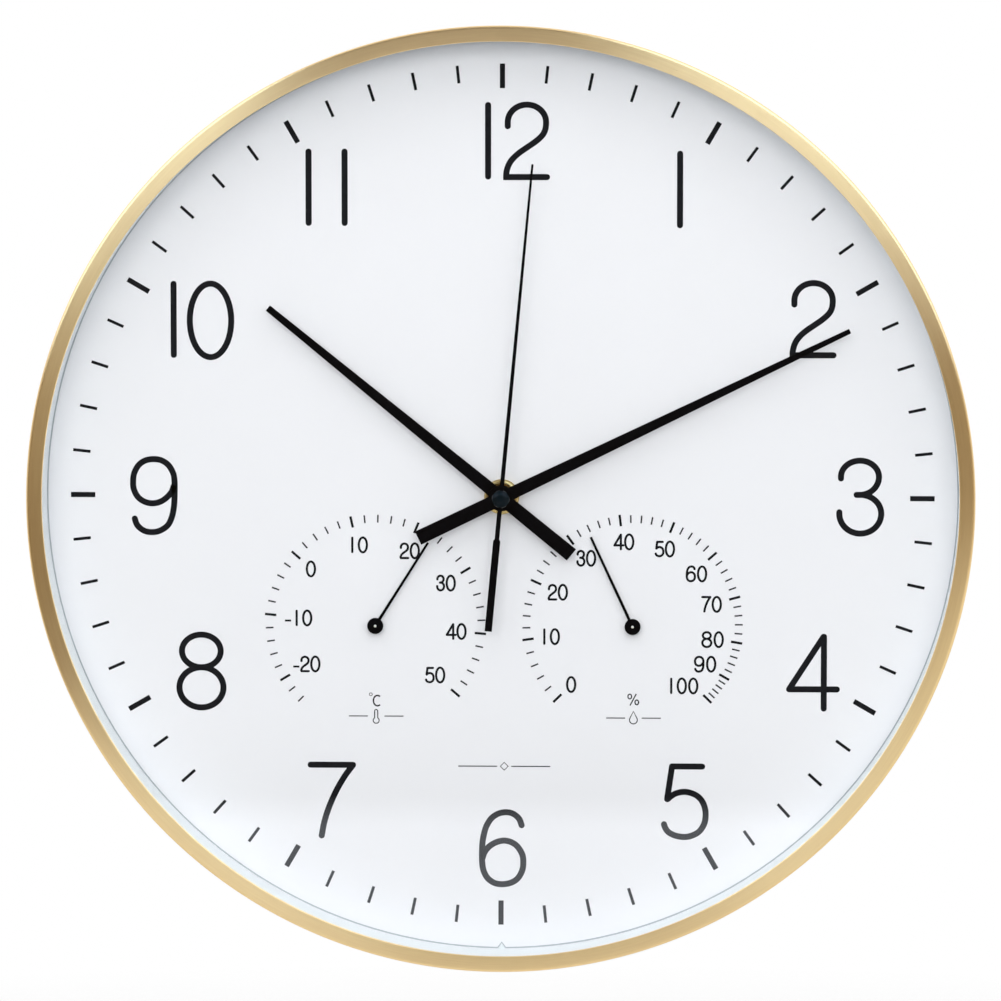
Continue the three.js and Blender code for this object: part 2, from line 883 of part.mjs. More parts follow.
const pipeBoreRadius = minutePipeRadius + runningPlay;
const centreGroup = groupAt(face, centre, centreTurn);
piece(
  centreGroup,
  "centre_gear",
  gear(centreGearTeeth, centreModule, centreLayer, pipeBoreRadius),
  gearPlastic,
);

// Slipping clutch and motion work: the minute pipe drives the hour wheel at a twelfth.
piece(
  face,
  "clutch_spring",
  tube(pipeBoreRadius, minutePipeRadius + clutchWidth, clutchRear, clutchFore),
  steel,
);
const cannonGroup = groupAt(face, centre, cannonTurn);
piece(
  cannonGroup,
  "minute_pipe",
  join(
    tube(minutePipeBoreRadius, minutePipeRadius, pipeFlangeRear, minuteHandFore),
    tube(
      minutePipeBoreRadius,
      minutePipeRadius + pipeFlangeWidth,
      pipeFlangeRear,
      pipeFlangeFore,
    ),
    gear(cannonPinionTeeth, motionModule, motionLayer, minutePipeBoreRadius),
  ),
  brass,
);

const motionGroup = groupAt(face, motionPlace, motionTurn);
const studBoreRadius = studRadius + runningPlay;
piece(
  motionGroup,
  "motion_wheel",
  join(
    gear(motionWheelTeeth, motionModule, motionLayer, studBoreRadius),
    gear(
      motionPinionTeeth,
      hourModule,
      { rear: motionLayer.fore - seatGap, fore: hourLayer.fore },
      studBoreRadius,
    ),
  ),
  gearPlastic,
);

const hourGroup = groupAt(face, centre, hourTurn);
piece(
  hourGroup,
  "hour_wheel",
  join(
    gear(hourWheelTeeth, hourModule, hourLayer, hourPipeBoreRadius),
    tube(hourPipeBoreRadius, hourPipeRadius, hourLayer.rear, hourHandFore),
  ),
  gearPlastic,
);

// Setting knob behind the movement, whose gear turns the motion wheel.
const knobFore = movementSetback - endPlay;
const knobOutline = [];
for (let flute = 0; flute < knobFlutes; flute++) {
  const step = 360 / knobFlutes;
  knobOutline.push(
    polar(knobRadius, flute * step),
    polar(knobRadius - fluteDepth, (flute + 0.5) * step),
  );
}
const settingGroup = groupAt(face, settingPlace, settingTurn);
piece(
  settingGroup,
  "set_knob",
  join(
    plate(knobOutline, knobFore - knobThickness, knobFore),
    disc(knobArborRadius, knobFore - seatGap, pivotFore, boreSteps),
    gear(settingGearTeeth, motionModule, motionLayer),
  ),
  greyPlastic,
);

// Stepping motor: a stator plate with a hole round the rotor, and a wound core across its legs.
const statorHoleRadius = magnetRadius + rotorAirGap;
const statorLow = rotorPlace[1] - statorHoleRadius - statorNeck;
const statorHigh = rotorPlace[1] + statorHoleRadius + statorNeck;
const coilHeight = statorHigh + coilFlangeRadius + radialPlay;
const legTop = coilHeight + statorLegWidth / 2;
const legInner = coilLength / 2 + coilFlangeThickness + radialPlay;
const legOuter = legInner + statorLegWidth;
const [rotorX] = rotorPlace;
const statorOutline = outline(
  [
    [rotorX - legOuter, statorLow],
    [rotorX + legOuter, statorLow],
    [rotorX + legOuter, legTop],
    [rotorX + legInner, legTop],
    [rotorX + legInner, statorHigh],
    [rotorX - legInner, statorHigh],
    [rotorX - legInner, legTop],
    [rotorX - legOuter, legTop],
  ],
  [ring(statorHoleRadius, hubSteps, rotorPlace)],
);
piece(face, "stator", plate(statorOutline, statorFore - statorThickness, statorFore), steel);

const coilHalf = coilLength / 2;
const coilFull = coilHalf + coilFlangeThickness;
const bobbin = new THREE.LatheGeometry(
  [
    [0, -coilFull],
    [coilFlangeRadius, -coilFull],
    [coilFlangeRadius, -coilHalf],
    [coilRadius, -coilHalf],
    [coilRadius, coilHalf],
    [coilFlangeRadius, coilHalf],
    [coilFlangeRadius, coilFull],
    [0, coilFull],
  ].map(([radius, along]) => new THREE.Vector2(radius, along)),
  boreSteps,
);
bobbin.rotateZ(-Math.PI / 2);
bobbin.translate(rotorX, -(coreRear + coreFore) / 2, coilHeight);
const core = plate(
  rectangle(
    rotorX - legOuter,
    rotorX + legOuter,
    coilHeight - statorLegWidth / 2,
    coilHeight + statorLegWidth / 2,
  ),
  coreRear,
  coreFore,
);
piece(face, "drive_coil", join(bobbin, core), copper);

// Circuit board on two posts, with its sealed chip and the crystal in its can.
piece(
  face,
  "circuit_board",
  plate(
    rectangle(boardLeft, boardLeft + boardWidth, boardLow, boardLow + boardHeight),
    boardRear,
    boardFore,
  ),
  boardGreen,
);
const chipRear = boardFore + seatGap;
const chipProfile = [
  [0, chipRear],
  [chipRadius, chipRear],
  [chipRadius * Math.cos(Math.PI / 6), chipRear + chipHeight / 2],
  [chipRadius / 2, chipRear + chipHeight],
  [0, chipRear + chipHeight],
];
const chipPlace = [boardLeft + boardWidth / 3, boardLow + boardHeight / 2];
piece(groupAt(face, chipPlace), "control_chip", turned(chipProfile, boreSteps), blackPlastic);

const crystal = new THREE.CylinderGeometry(
  crystalRadius,
  crystalRadius,
  crystalLength,
  boreSteps,
);
crystal.rotateZ(Math.PI / 2);
const crystalPlace = boardLeft + boardWidth - boardMargin - crystalLength / 2;
crystal.translate(crystalPlace, -(boardFore + seatGap + crystalRadius), chipPlace[1]);
piece(face, "quartz_crystal", crystal, steel);

// Battery across the bay, between a flat contact and a sprung one.
const batteryFore = coverRear - seatGap - bayPlay;
const batteryAxis = batteryFore - batteryRadius;
const batteryHeight = bayLow + bayPlay + batteryRadius;
const batteryProfile = [
  [0, -batteryTotal / 2],
  [batteryRadius, -batteryTotal / 2],
  [batteryRadius, batteryTotal / 2 - nippleLength],
  [nippleRadius, batteryTotal / 2 - nippleLength],
  [nippleRadius, batteryTotal / 2],
  [0, batteryTotal / 2],
].map(([radius, along]) => new THREE.Vector2(radius, along));
const battery = new THREE.LatheGeometry(batteryProfile, hubSteps);
battery.rotateZ(-Math.PI / 2);
battery.translate(0, -batteryAxis, batteryHeight);
piece(face, "battery", battery, batteryShell);

function contact(side, bump) {
  const near = batteryTotal / 2 + bayPlay;
  const far = near + contactThickness;
  const strip = new THREE.BoxGeometry(contactThickness, contactWidth, contactWidth);
  strip.translate((side * (near + far)) / 2, -batteryAxis, batteryHeight);
  if (!bump) return toGeometry(toSolid(strip));
  const rib = new THREE.BoxGeometry(contactThickness, contactWidth, bump);
  rib.translate((side * (near + far)) / 2 - (side * bayPlay) / 2, -batteryAxis, batteryHeight);
  return join(strip, rib);
}
piece(face, "positive_contact", contact(1, 0), steel);
piece(face, "negative_contact", contact(-1, contactBump), steel);

// Hands: stamped blades on collets that press over the pipes.
function blade(length, tail, tipWidth) {
  return [
    [-bladeTailWidth / 2, -tail],
    [-bladeShoulderWidth / 2, 0],
    [-bladeRootWidth / 2, 0],
    [-tipWidth / 2, length],
    [tipWidth / 2, length],
    [bladeRootWidth / 2, 0],
    [bladeShoulderWidth / 2, 0],
    [bladeTailWidth / 2, -tail],
  ];
}

function hand(length, tail, tipWidth, pipeRadius, rear, fore, colletRear) {
  const bore = pipeRadius + seatGap;
  const body = join(
    plate(blade(length, tail, tipWidth), rear, fore),
    disc(hourPipeRadius + handDiscWidth, rear, fore),
    disc(bore + colletWall, colletRear, fore - seatGap),
  );
  return cut(body, disc(bore, colletRear - overrun, fore + overrun));
}

const hourHand = groupAt(face, centre, hourHandAngle);
piece(
  hourHand,
  "hour_hand",
  hand(
    spacerInnerRadius - hourHandMargin,
    hourHandTail,
    hourHandTipWidth,
    hourPipeRadius,
    hourHandRear,
    hourHandFore,
    bushingFore + endPlay,
  ),
  blackLacquer,
);

const minuteHand = groupAt(face, centre, minuteHandAngle);
piece(
  minuteHand,
  "minute_hand",
  hand(
    spacerInnerRadius - minuteHandMargin,
    minuteHandTail,
    minuteHandTipWidth,
    minutePipeRadius,
    minuteHandRear,
    minuteHandFore,
    hourHandFore + endPlay,
  ),
  blackLacquer,
);

const secondHandLength = spacerInnerRadius - secondHandMargin;
const tipRadius = secondHandTipWidth / 2;
const weightShoulderZ = -(weightStart + weightShoulder);
const secondOutline = new THREE.Shape();
secondOutline.moveTo(-secondHandRootWidth / 2, 0);
secondOutline.lineTo(-tipRadius, secondHandLength - tipRadius);
secondOutline.absarc(0, secondHandLength - tipRadius, tipRadius, Math.PI, 0, true);
secondOutline.lineTo(secondHandRootWidth / 2, 0);
secondOutline.lineTo(secondHandRodWidth / 2, 0);
secondOutline.lineTo(secondHandRodWidth / 2, -weightStart);
secondOutline.quadraticCurveTo(weightWidth / 2, -weightStart, weightWidth / 2, weightShoulderZ);
secondOutline.lineTo(weightWidth / 2, -secondHandTail);
secondOutline.lineTo(-weightWidth / 2, -secondHandTail);
secondOutline.lineTo(-weightWidth / 2, weightShoulderZ);
secondOutline.quadraticCurveTo(-weightWidth / 2, -weightStart, -secondHandRodWidth / 2, -weightStart);
secondOutline.lineTo(-secondHandRodWidth / 2, 0);
const secondBore = arborRadius + seatGap;
const secondColletRear = minuteHandFore + endPlay;
const secondBody = join(
  plate(
    outline(secondOutline.getPoints(roundingSteps).map(({ x, y }) => [x, y])),
    secondHandRear,
    secondHandFore,
  ),
  disc(secondDiscRadius, secondHandRear, secondHandFore),
  disc(secondBore + colletWall, secondColletRear, secondHandFore - seatGap),
);
const secondHand = groupAt(face, centre, secondHandAngle);
piece(
  secondHand,
  "second_hand",
  cut(secondBody, disc(secondBore, secondColletRear - overrun, secondHandFore + overrun)),
  blackLacquer,
);

const capProfile = [
  [secondBore, capRear],
  [capRadius, capRear],
];
for (let step = 0; step <= roundingSteps; step++) {
  const [across, ahead] = polar(1, 90 - (90 * step) / (roundingSteps + 1));
  const skirt = capHeight / 3;
  capProfile.push([capRadius * across, capRear + skirt + (capHeight - skirt) * ahead]);
}
capProfile.push([0, capRear + capHeight], [0, capRear + capDepth], [secondBore, capRear + capDepth]);
piece(secondHand, "second_hand_cap", turned(capProfile, hubSteps), blackLacquer);

// Instruments: a slotted cup behind the dial, a spiral strip that turns with heat or moisture,
// and a brass arbor that carries the pointer in front of the dial.
const cupFore = dialRear - seatGap;
const cupRear = floorFore + cupFloorGap;
const cupInnerRadius = cupRadius - cupWall;
const cupFlangeRadius = cupRadius + cupFlangeWidth;
const cupFloor = cupRear + cupWall;
const springRear = cupFloor + cupBossHeight + endPlay;
const springFore = cupFore - springHeadroom;
const pointerRear = dialFore + pointerGap;
const pointerFore = pointerRear + pointerThickness;

function cup() {
  const profile = [
    [0, cupRear],
    [cupRadius, cupRear],
    [cupRadius, cupFore - cupWall],
    [cupFlangeRadius, cupFore - cupWall],
    [cupFlangeRadius, cupFore],
    [cupInnerRadius, cupFore],
    [cupInnerRadius, cupFloor],
    [cupBossRadius, cupFloor],
    [cupBossRadius, cupFloor + cupBossHeight],
    [0, cupFloor + cupBossHeight],
  ];
  const slots = [];
  const outermost = cupInnerRadius - cupSlotMargin;
  for (let slot = 0; slot < cupSlotCount; slot++) {
    const air = plate(
      rectangle(-cupInnerRadius / 2, cupInnerRadius / 2, -cupSlotWidth / 2, cupSlotWidth / 2),
      cupRear - overrun,
      cupFloor + overrun,
    );
    slots.push(air.translate(0, 0, outermost * ((2 * slot) / (cupSlotCount - 1) - 1)));
  }
  const socket = disc(
    instrumentArborRadius + runningPlay,
    cupFloor,
    cupFloor + cupBossHeight + overrun,
    boreSteps,
  );
  return cut(turned(profile, cupSteps), socket, ...slots);
}

// A flat strip wound as a spiral, standing on its edge.
function spiralStrip() {
  const outerRadius = cupInnerRadius - radialPlay - springStrip / 2;
  const steps = coilTurns * springStepsPerTurn;
  const inner = [];
  const outer = [];
  for (let step = 0; step <= steps; step++) {
    const radius = springInnerRadius + ((outerRadius - springInnerRadius) * step) / steps;
    const direction = (360 * step) / springStepsPerTurn;
    inner.push(polar(radius - springStrip / 2, direction));
    outer.push(polar(radius + springStrip / 2, direction));
  }
  return plate([...outer, ...inner.reverse()], springRear, springFore);
}

function instrumentArbor() {
  return join(
    disc(instrumentArborRadius, cupFloor + endPlay, pointerRear + pointerHubHeight, boreSteps),
    disc(springCollarRadius, springRear, springFore, boreSteps),
  );
}

function pointer() {
  const bore = instrumentArborRadius + seatGap;
  const needle = [
    [-pointerRootWidth / 2, 0],
    [-pointerTipWidth / 2, pointerLength],
    [pointerTipWidth / 2, pointerLength],
    [pointerRootWidth / 2, 0],
  ];
  const body = join(
    plate(needle, pointerRear, pointerFore),
    disc(pointerHubRadius, pointerRear, pointerRear + pointerHubHeight),
  );
  return cut(body, disc(bore, pointerRear - overrun, pointerRear + pointerHubHeight + overrun, boreSteps));
}

function instrument(name, springName, place, degrees) {
  const still = groupAt(face, place);
  piece(still, name + "_cup", cup(), whitePlastic);
  piece(still, springName, spiralStrip(), copper);
  const moving = groupAt(face, place, degrees);
  piece(moving, name + "_arbor", instrumentArbor(), brass);
  piece(moving, name + "_pointer", pointer(), blackLacquer);
}
instrument("thermometer", "bimetal_coil", thermometerCentre, thermometerAngle);
instrument("hygrometer", "humidity_coil", hygrometerCentre, hygrometerAngle);

export default clock;
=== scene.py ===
from math import atan2, cos, degrees, hypot, pi, radians, sin, sqrt

import bmesh
import bpy
from mathutils import Matrix, Vector


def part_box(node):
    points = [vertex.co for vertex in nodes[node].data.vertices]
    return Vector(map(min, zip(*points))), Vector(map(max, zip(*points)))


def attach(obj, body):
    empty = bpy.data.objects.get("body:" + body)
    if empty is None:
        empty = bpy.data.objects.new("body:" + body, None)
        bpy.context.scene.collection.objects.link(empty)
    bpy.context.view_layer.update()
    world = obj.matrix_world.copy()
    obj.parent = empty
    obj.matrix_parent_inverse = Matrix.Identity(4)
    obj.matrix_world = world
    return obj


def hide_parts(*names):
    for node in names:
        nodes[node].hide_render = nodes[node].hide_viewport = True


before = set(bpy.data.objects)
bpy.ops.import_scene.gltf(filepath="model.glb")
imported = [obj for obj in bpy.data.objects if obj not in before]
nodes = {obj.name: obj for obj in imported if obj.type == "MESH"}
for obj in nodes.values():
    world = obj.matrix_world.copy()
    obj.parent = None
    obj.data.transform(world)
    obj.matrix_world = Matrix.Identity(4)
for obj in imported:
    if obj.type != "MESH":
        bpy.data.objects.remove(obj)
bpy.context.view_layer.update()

# Moulded back. A dark grey ABS shell with ribs, a keyhole and air slots, moulded in one shot
# with a fine spark-eroded grain, and pressed into the frame against the dial.


class Channel:
    """A socket of a finish's nodes, or the finish itself while it has none.
    Sums written on it add Math nodes, and node() adds any other node."""

    def __init__(self, tree, socket=None):
        self.tree, self.socket = tree, socket

    def node(self, kind, settings=None, sockets=None, output=0):
        made = self.tree.nodes.new(kind)
        for key, value in (settings or {}).items():
            setattr(made, key, value)
        for key, value in (sockets or {}).items():
            socket = made.inputs[key]
            if isinstance(value, Channel):
                self.tree.links.new(value.socket, socket)
            elif socket.type == "RGBA":
                socket.default_value = (*value, 1)
            else:
                socket.default_value = value
        return Channel(self.tree, made.outputs[output]) if made.outputs else None

    def beside(self, output):
        """Another output of the same node."""
        return Channel(self.tree, self.socket.node.outputs[output])

    def maths(self, operation, *terms):
        return self.node("ShaderNodeMath", {"operation": operation}, dict(enumerate(terms)))

    def __add__(self, other):
        return self.maths("ADD", self, other)

    def __sub__(self, other):
        return self.maths("SUBTRACT", self, other)

    def __rsub__(self, other):
        return self.maths("SUBTRACT", other, self)

    def __mul__(self, other):
        return self.maths("MULTIPLY", self, other)

    def __truediv__(self, other):
        return self.maths("DIVIDE", self, other)

    def __gt__(self, other):
        return self.maths("GREATER_THAN", self, other)

    def __lt__(self, other):
        return self.maths("LESS_THAN", self, other)

    __radd__, __rmul__ = __add__, __mul__


def new_finish(name):
    """An empty finish: its material, and the channel that its nodes are added through."""
    material = bpy.data.materials.new(name)
    material.use_nodes = True
    material.node_tree.nodes.clear()
    return material, Channel(material.node_tree)


def object_place(paint):
    """The place on the object, in its own frame."""
    return paint.node("ShaderNodeTexCoord", output="Object")


def noise(paint, place, scale, detail, roughness=0.5):
    """Soft noise about one half, with its scale per metre."""
    sockets = {"Vector": place, "Scale": scale, "Detail": detail, "Roughness": roughness}
    return paint.node("ShaderNodeTexNoise", {}, sockets)


def relief(paint, height, strength, distance):
    """A bumped normal."""
    sockets = {"Height": height, "Strength": strength, "Distance": distance}
    return paint.node("ShaderNodeBump", {}, sockets)


def blend_colours(paint, share, first, second):
    sockets = {0: share, 6: first, 7: second}
    return paint.node("ShaderNodeMix", {"data_type": "RGBA"}, sockets, output=2)


def shade(colour, factor):
    return tuple(min(1.0, part * factor) for part in colour)


def mottled(paint, share, colour, low, high):
    """A colour that wanders between two strengths of itself."""
    return blend_colours(paint, share, shade(colour, low), shade(colour, high))


def coat(material, paint, colour, roughness, others):
    """Ends a finish in one Principled shader."""
    sockets = {"Base Color": colour, "Roughness": roughness, **others}
    shader = paint.node("ShaderNodeBsdfPrincipled", {}, sockets)
    paint.node("ShaderNodeOutputMaterial", {}, {"Surface": shader})
    return material


def moulded(name, colour, roughness, grain=0.0004, depth=0.00004, drift=0.08):
    """Moulded plastic: an even spark-eroded grain, and colour and gloss that drift slowly."""
    material, paint = new_finish(name)
    place = object_place(paint)
    pits = noise(paint, place, 1 / grain, 3, 0.6)
    tint = mottled(paint, noise(paint, place, 45, 2), colour, 1 - drift, 1 + drift)
    bump = relief(paint, pits, 0.35, depth)
    return coat(material, paint, tint, roughness - 0.06 + 0.12 * pits, {"Normal": bump})


def dress(material, *names):
    """Gives CAD nodes their finish."""
    for name in names:
        mesh = nodes[name].data
        mesh.materials.clear()
        mesh.materials.append(material)


dress(moulded("dark_grey_moulded_plastic", (0.045, 0.047, 0.052), 0.55), "back_case", "set_knob")

# Instrument cups. White plastic cups glued behind the dial, each with a spiral strip on edge:
# bright bimetal in the thermometer, copper-backed film in the hygrometer.
cup_plastic = moulded("white_cup_plastic", (0.80, 0.81, 0.80), 0.45)
dress(cup_plastic, "thermometer_cup", "hygrometer_cup")


def rolled_metal(name, colour, roughness):
    """Rolled or drawn strip: fine lines along X, with a faint stain."""
    material, paint = new_finish(name)
    place = object_place(paint)
    line, streak = 0.0003, 12
    along = paint.node("ShaderNodeMapping", {}, {"Vector": place, "Scale": (1, streak, streak)})
    lines = noise(paint, along, 1 / line / streak, 4)
    tint = mottled(paint, noise(paint, place, 160, 3), colour, 0.88, 1.06)
    others = {"Metallic": 1.0, "Normal": relief(paint, lines, 0.2, 0.00001)}
    return coat(material, paint, tint, roughness - 0.07 + 0.14 * lines, others)


dress(rolled_metal("bimetal_strip", (0.55, 0.47, 0.40), 0.32), "bimetal_coil")
dress(rolled_metal("coated_copper_strip", (0.72, 0.38, 0.22), 0.38), "humidity_coil")

# Quartz movement. Two black ABS halves hold a train of natural acetal wheels, a stepping motor
# with a steel stator and a wound coil, and a small circuit board.
black_plastic = moulded("black_moulded_plastic", (0.018, 0.018, 0.020), 0.5)
dress(black_plastic, "movement_case", "movement_plate", "control_chip")
acetal = moulded("natural_acetal", (0.78, 0.74, 0.63), 0.42, grain=0.0002, depth=0.00001)
dress(acetal, "fifth_wheel", "seconds_wheel", "third_wheel", "centre_gear")
dress(acetal, "motion_wheel", "hour_wheel")
steel_strip = rolled_metal("rolled_steel_strip", (0.56, 0.57, 0.58), 0.3)
dress(steel_strip, "stator", "clutch_spring", "quartz_crystal")
dress(steel_strip, "positive_contact", "negative_contact")
dress(moulded("sintered_magnet", (0.10, 0.10, 0.11), 0.6, grain=0.00015), "rotor")


def components(paint):
    """The three parts of the place on the object."""
    x = paint.node("ShaderNodeSeparateXYZ", {}, {"Vector": object_place(paint)}, output="X")
    return x, x.beside("Y"), x.beside("Z")


def wound_wire(name, colour, wire):
    """Enamelled wire laid turn beside turn round a core along X, with painted shade darkening the
    grooves between the turns.
    """
    material, paint = new_finish(name)
    turns = paint.maths("SINE", components(paint)[0] * (2 * pi / wire))
    uneven = noise(paint, object_place(paint), 900, 2)
    # Painted shade: the colour falls towards a third of itself in the grooves between turns, more
    # in some places than others.
    painted_groove_shade = 0.5 - 0.5 * turns
    tint = blend_colours(paint, painted_groove_shade * uneven, colour, shade(colour, 0.3))
    others = {"Metallic": 0.9, "Normal": relief(paint, turns, 0.6, wire / 3)}
    return coat(material, paint, tint, 0.25 + 0.2 * uneven, others)


dress(wound_wire("enamelled_copper_winding", (0.66, 0.27, 0.12), 0.00012), "drive_coil")


def board_laminate(name, mask, tracks):
    """Green solder mask over copper tracks, which show as paler raised lines."""
    material, paint = new_finish(name)
    sockets = {"Vector": object_place(paint), "Scale": 420, "Randomness": 0.6}
    track = paint.node("ShaderNodeTexVoronoi", {"distance": "MANHATTAN"}, sockets) < 0.35
    bump = relief(paint, track, 0.4, 0.00004)
    return coat(material, paint, blend_colours(paint, track, mask, tracks), 0.3, {"Normal": bump})


dress(board_laminate("green_board", (0.015, 0.10, 0.045), (0.04, 0.20, 0.09)), "circuit_board")

# Battery. An AA cell in a printed plastic sleeve, with bare nickel-plated ends, pushed sideways
# into the open bay of the movement.
MM = 0.001


def add_piece(name, shape, finish, body, slot, sharp=35, place=Matrix()):
    """Makes a bmesh a piece that rides on a body, with its faces turned outwards and smooth
    shading between its sharp edges."""
    bmesh.ops.recalc_face_normals(shape, faces=shape.faces)
    mesh = bpy.data.meshes.new(name)
    shape.to_mesh(mesh)
    shape.free()
    mesh.materials.append(finish)
    mesh.shade_smooth()
    mesh.set_sharp_from_angle(angle=radians(sharp))
    piece = bpy.data.objects.new(name, mesh)
    bpy.context.scene.collection.objects.link(piece)
    piece.matrix_world = place
    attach(piece, body)
    return piece


def turn(shape, profile, steps, stand):
    """Adds a turned body: a profile of [radius, distance along the axis] in millimetres, closed
    if it has a bore. stand places a point of (across, up, along) in metres on the clock."""
    rings = []
    for radius, along in profile:
        if radius:
            angles = [2 * pi * k / steps for k in range(steps)]
            ring = [(radius * MM * cos(a), radius * MM * sin(a), along * MM) for a in angles]
            rings.append([shape.verts.new(stand(*point)) for point in ring])
        else:
            rings.append([shape.verts.new(stand(0, 0, along * MM))] * steps)
    bored = profile[0][0] and profile[-1][0]
    pairs = list(zip(rings, rings[1:])) + ([(rings[-1], rings[0])] if bored else [])
    for lower, upper in pairs:
        for k in range(steps):
            after = (k + 1) % steps
            corners = []
            for vert in (lower[k], lower[after], upper[after], upper[k]):
                if vert not in corners:
                    corners.append(vert)
            if len(corners) > 2:
                shape.faces.new(corners)


def turned_piece(name, profile, steps, stand, finish, body, slot):
    """A piece that is one turned body."""
    shape = bmesh.new()
    turn(shape, profile, steps, stand)
    return add_piece(name, shape, finish, body, slot)


battery_low, battery_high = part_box("battery")
battery_middle = (battery_low + battery_high) / 2
radius, half = (battery_high.y - battery_low.y) / 2 / MM, (battery_high.x - battery_low.x) / 2 / MM


def along_battery(across, up, along):
    return Vector((along, across, up)) + Vector((0, battery_middle.y, battery_middle.z))


crimp, shoulder, nipple, seat = 0.5, 0.9, 2.7, 0.15
can_end = half - 1.2
sleeve_profile = [
    [radius - shoulder, 0.1 - half], [radius - crimp, 0.1 - half], [radius, crimp - half],
    [radius, can_end - crimp], [radius - crimp, can_end], [radius - shoulder, can_end],
]
can_profile = [
    [0, -half], [3.2, -half], [3.5, seat - half], [radius - 1.1, seat - half],
    [radius - 1.0, 2 * seat - half], [radius - 1.0, can_end - 2 * seat],
    [radius - 1.3, can_end - seat], [nipple + 0.4, can_end - seat], [nipple, can_end + 0.1],
    [nipple, half - 0.25], [nipple - 0.25, half], [0, half],
]


def printed_sleeve(name, body, band, edge, width):
    """Shrunk plastic sleeve: a plain body with one band near the positive end, glossy ink."""
    material, paint = new_finish(name)
    x = components(paint)[0]
    wrinkle = noise(paint, object_place(paint), 260, 3)
    tint = blend_colours(paint, (x > edge) * (x < edge + width), body, band)
    others = {"Coat Weight": 0.5, "Normal": relief(paint, wrinkle, 0.15, 0.00003)}
    return coat(material, paint, tint, 0.22 + 0.12 * wrinkle, others)


band_start, band_width = (half - 13) * MM, 5 * MM
pale, dark, cell = (0.50, 0.52, 0.53), (0.035, 0.04, 0.045), "battery_cell"
print_finish = printed_sleeve("battery_sleeve_print", pale, dark, band_start, band_width)
nickel = rolled_metal("nickel_plate", (0.66, 0.65, 0.62), 0.24)
battery_can = turned_piece("battery_can", can_profile, 48, along_battery, nickel, cell, "steel")
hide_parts("battery")
turned_piece(
    "battery_sleeve", sleeve_profile, 64, along_battery, print_finish, cell, "battery_wrap"
)

# Marks on the movement's back. Raised lines moulded with the black rear half: a plus and a minus
# by the battery's ends, an outline of a cell, a turning arrow over the knob and a bare label frame.


def arc(x, z, across, up, start, stop, step=6):
    """Points along an ellipse, from one angle to another, counted from the right and upwards."""
    count = max(2, round(abs(stop - start) / step))
    angles = [radians(start + (stop - start) * k / count) for k in range(count + 1)]
    return [(x + across * cos(a), z + up * sin(a)) for a in angles]


def stroke(shape, points, width, round_ends, crest, foot):
    """Adds a line of even width as a raised strip, whose two faces crest and foot place."""
    path = [points[0]]
    path += [b for a, b in zip(points, points[1:]) if hypot(b[0] - a[0], b[1] - a[1]) > 1e-4]
    closed = hypot(path[0][0] - path[-1][0], path[0][1] - path[-1][1]) < 1e-3
    if closed:
        path = path[:-1]
    half, last = width / 2, len(path) - 1
    left, right = [], []
    for k, (x, z) in enumerate(path):
        before = path[k - 1] if k > 0 or closed else path[k]
        after = path[(k + 1) % len(path)] if k < last or closed else path[k]
        dx, dz = after[0] - before[0], after[1] - before[1]
        reach = hypot(dx, dz)
        left.append((x - dz / reach * half, z + dx / reach * half))
        right.append((x + dz / reach * half, z - dx / reach * half))
    high = [[shape.verts.new(crest(*p)) for p in side] for side in (left, right)]
    low = [[shape.verts.new(foot(*p)) for p in side] for side in (left, right)]
    for k in range(last + 1 if closed else last):
        after = (k + 1) % len(path)
        shape.faces.new((high[0][k], high[1][k], high[1][after], high[0][after]))
        shape.faces.new((low[0][k], low[0][after], low[1][after], low[1][k]))
        shape.faces.new((high[0][k], high[0][after], low[0][after], low[0][k]))
        shape.faces.new((high[1][k], low[1][k], low[1][after], high[1][after]))
    if closed:
        return
    for end, rounded in zip((0, last), round_ends):
        inward = 1 if end == 0 else -1
        (x, z), (lx, lz) = path[end], left[end]
        start = atan2(lz - z, lx - x)
        turns = [start + inward * pi * k / 8 for k in range(1, 8)] if rounded else []
        cap = [(x + half * cos(a), z + half * sin(a)) for a in turns]
        top = [high[0][end]] + [shape.verts.new(crest(*p)) for p in cap] + [high[1][end]]
        base = [low[0][end]] + [shape.verts.new(foot(*p)) for p in cap] + [low[1][end]]
        if rounded:
            shape.faces.new(top)
            shape.faces.new(base[::-1])
        for k in range(len(top) - 1):
            shape.faces.new((top[k], base[k], base[k + 1], top[k + 1]))


def rectangle(left, right, low, high):
    """The four corners, with the first again at the end."""
    return [(left, low), (right, low), (right, high), (left, high), (left, low)]


case_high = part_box("movement_case")[1]
mark_height, mark_width = 0.25 * MM, 0.5 * MM
marks_shape = bmesh.new()


def off_case(lift):
    return lambda x, z: Vector((x, case_high.y + lift, z))


def mark(*points):
    """Adds a raised line through points of (right, up) in metres."""
    crest, foot = off_case(mark_height), off_case(-mark_height)
    stroke(marks_shape, points, mark_width, (True, True), crest, foot)


sign_height, sign_half, sign_side = battery_high.z + 2.55 * MM, 1.2 * MM, 22.0 * MM
for side in (-1, 1):
    mark((side * sign_side - sign_half, sign_height), (side * sign_side + sign_half, sign_height))
mark((sign_side, sign_height - sign_half), (sign_side, sign_height + sign_half))
cell_half, cell_rise, cell_tip = 5.0 * MM, 1.2 * MM, 5.9 * MM
mark(*rectangle(-cell_half, cell_half, sign_height - cell_rise, sign_height + cell_rise))
mark((cell_tip, sign_height - cell_rise / 2), (cell_tip, sign_height + cell_rise / 2))
knob_low, knob_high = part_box("set_knob")
knob_middle = (knob_low + knob_high) / 2
arrow_radius, barb = (knob_high.x - knob_low.x) / 2 + 1.9 * MM, 1.3 * MM
sweep = arc(knob_middle.x, knob_middle.z, arrow_radius, arrow_radius, 30, 150, 8)
mark(*sweep)
for (x, z), side in ((sweep[0], 1), (sweep[-1], -1)):
    mark((x - side * barb * 1.3, z + barb * 0.2), (x, z), (x + side * barb * 0.5, z + barb * 1.2))
label_half, label_drop, label_margin = 17 * MM, 18 * MM, 6 * MM
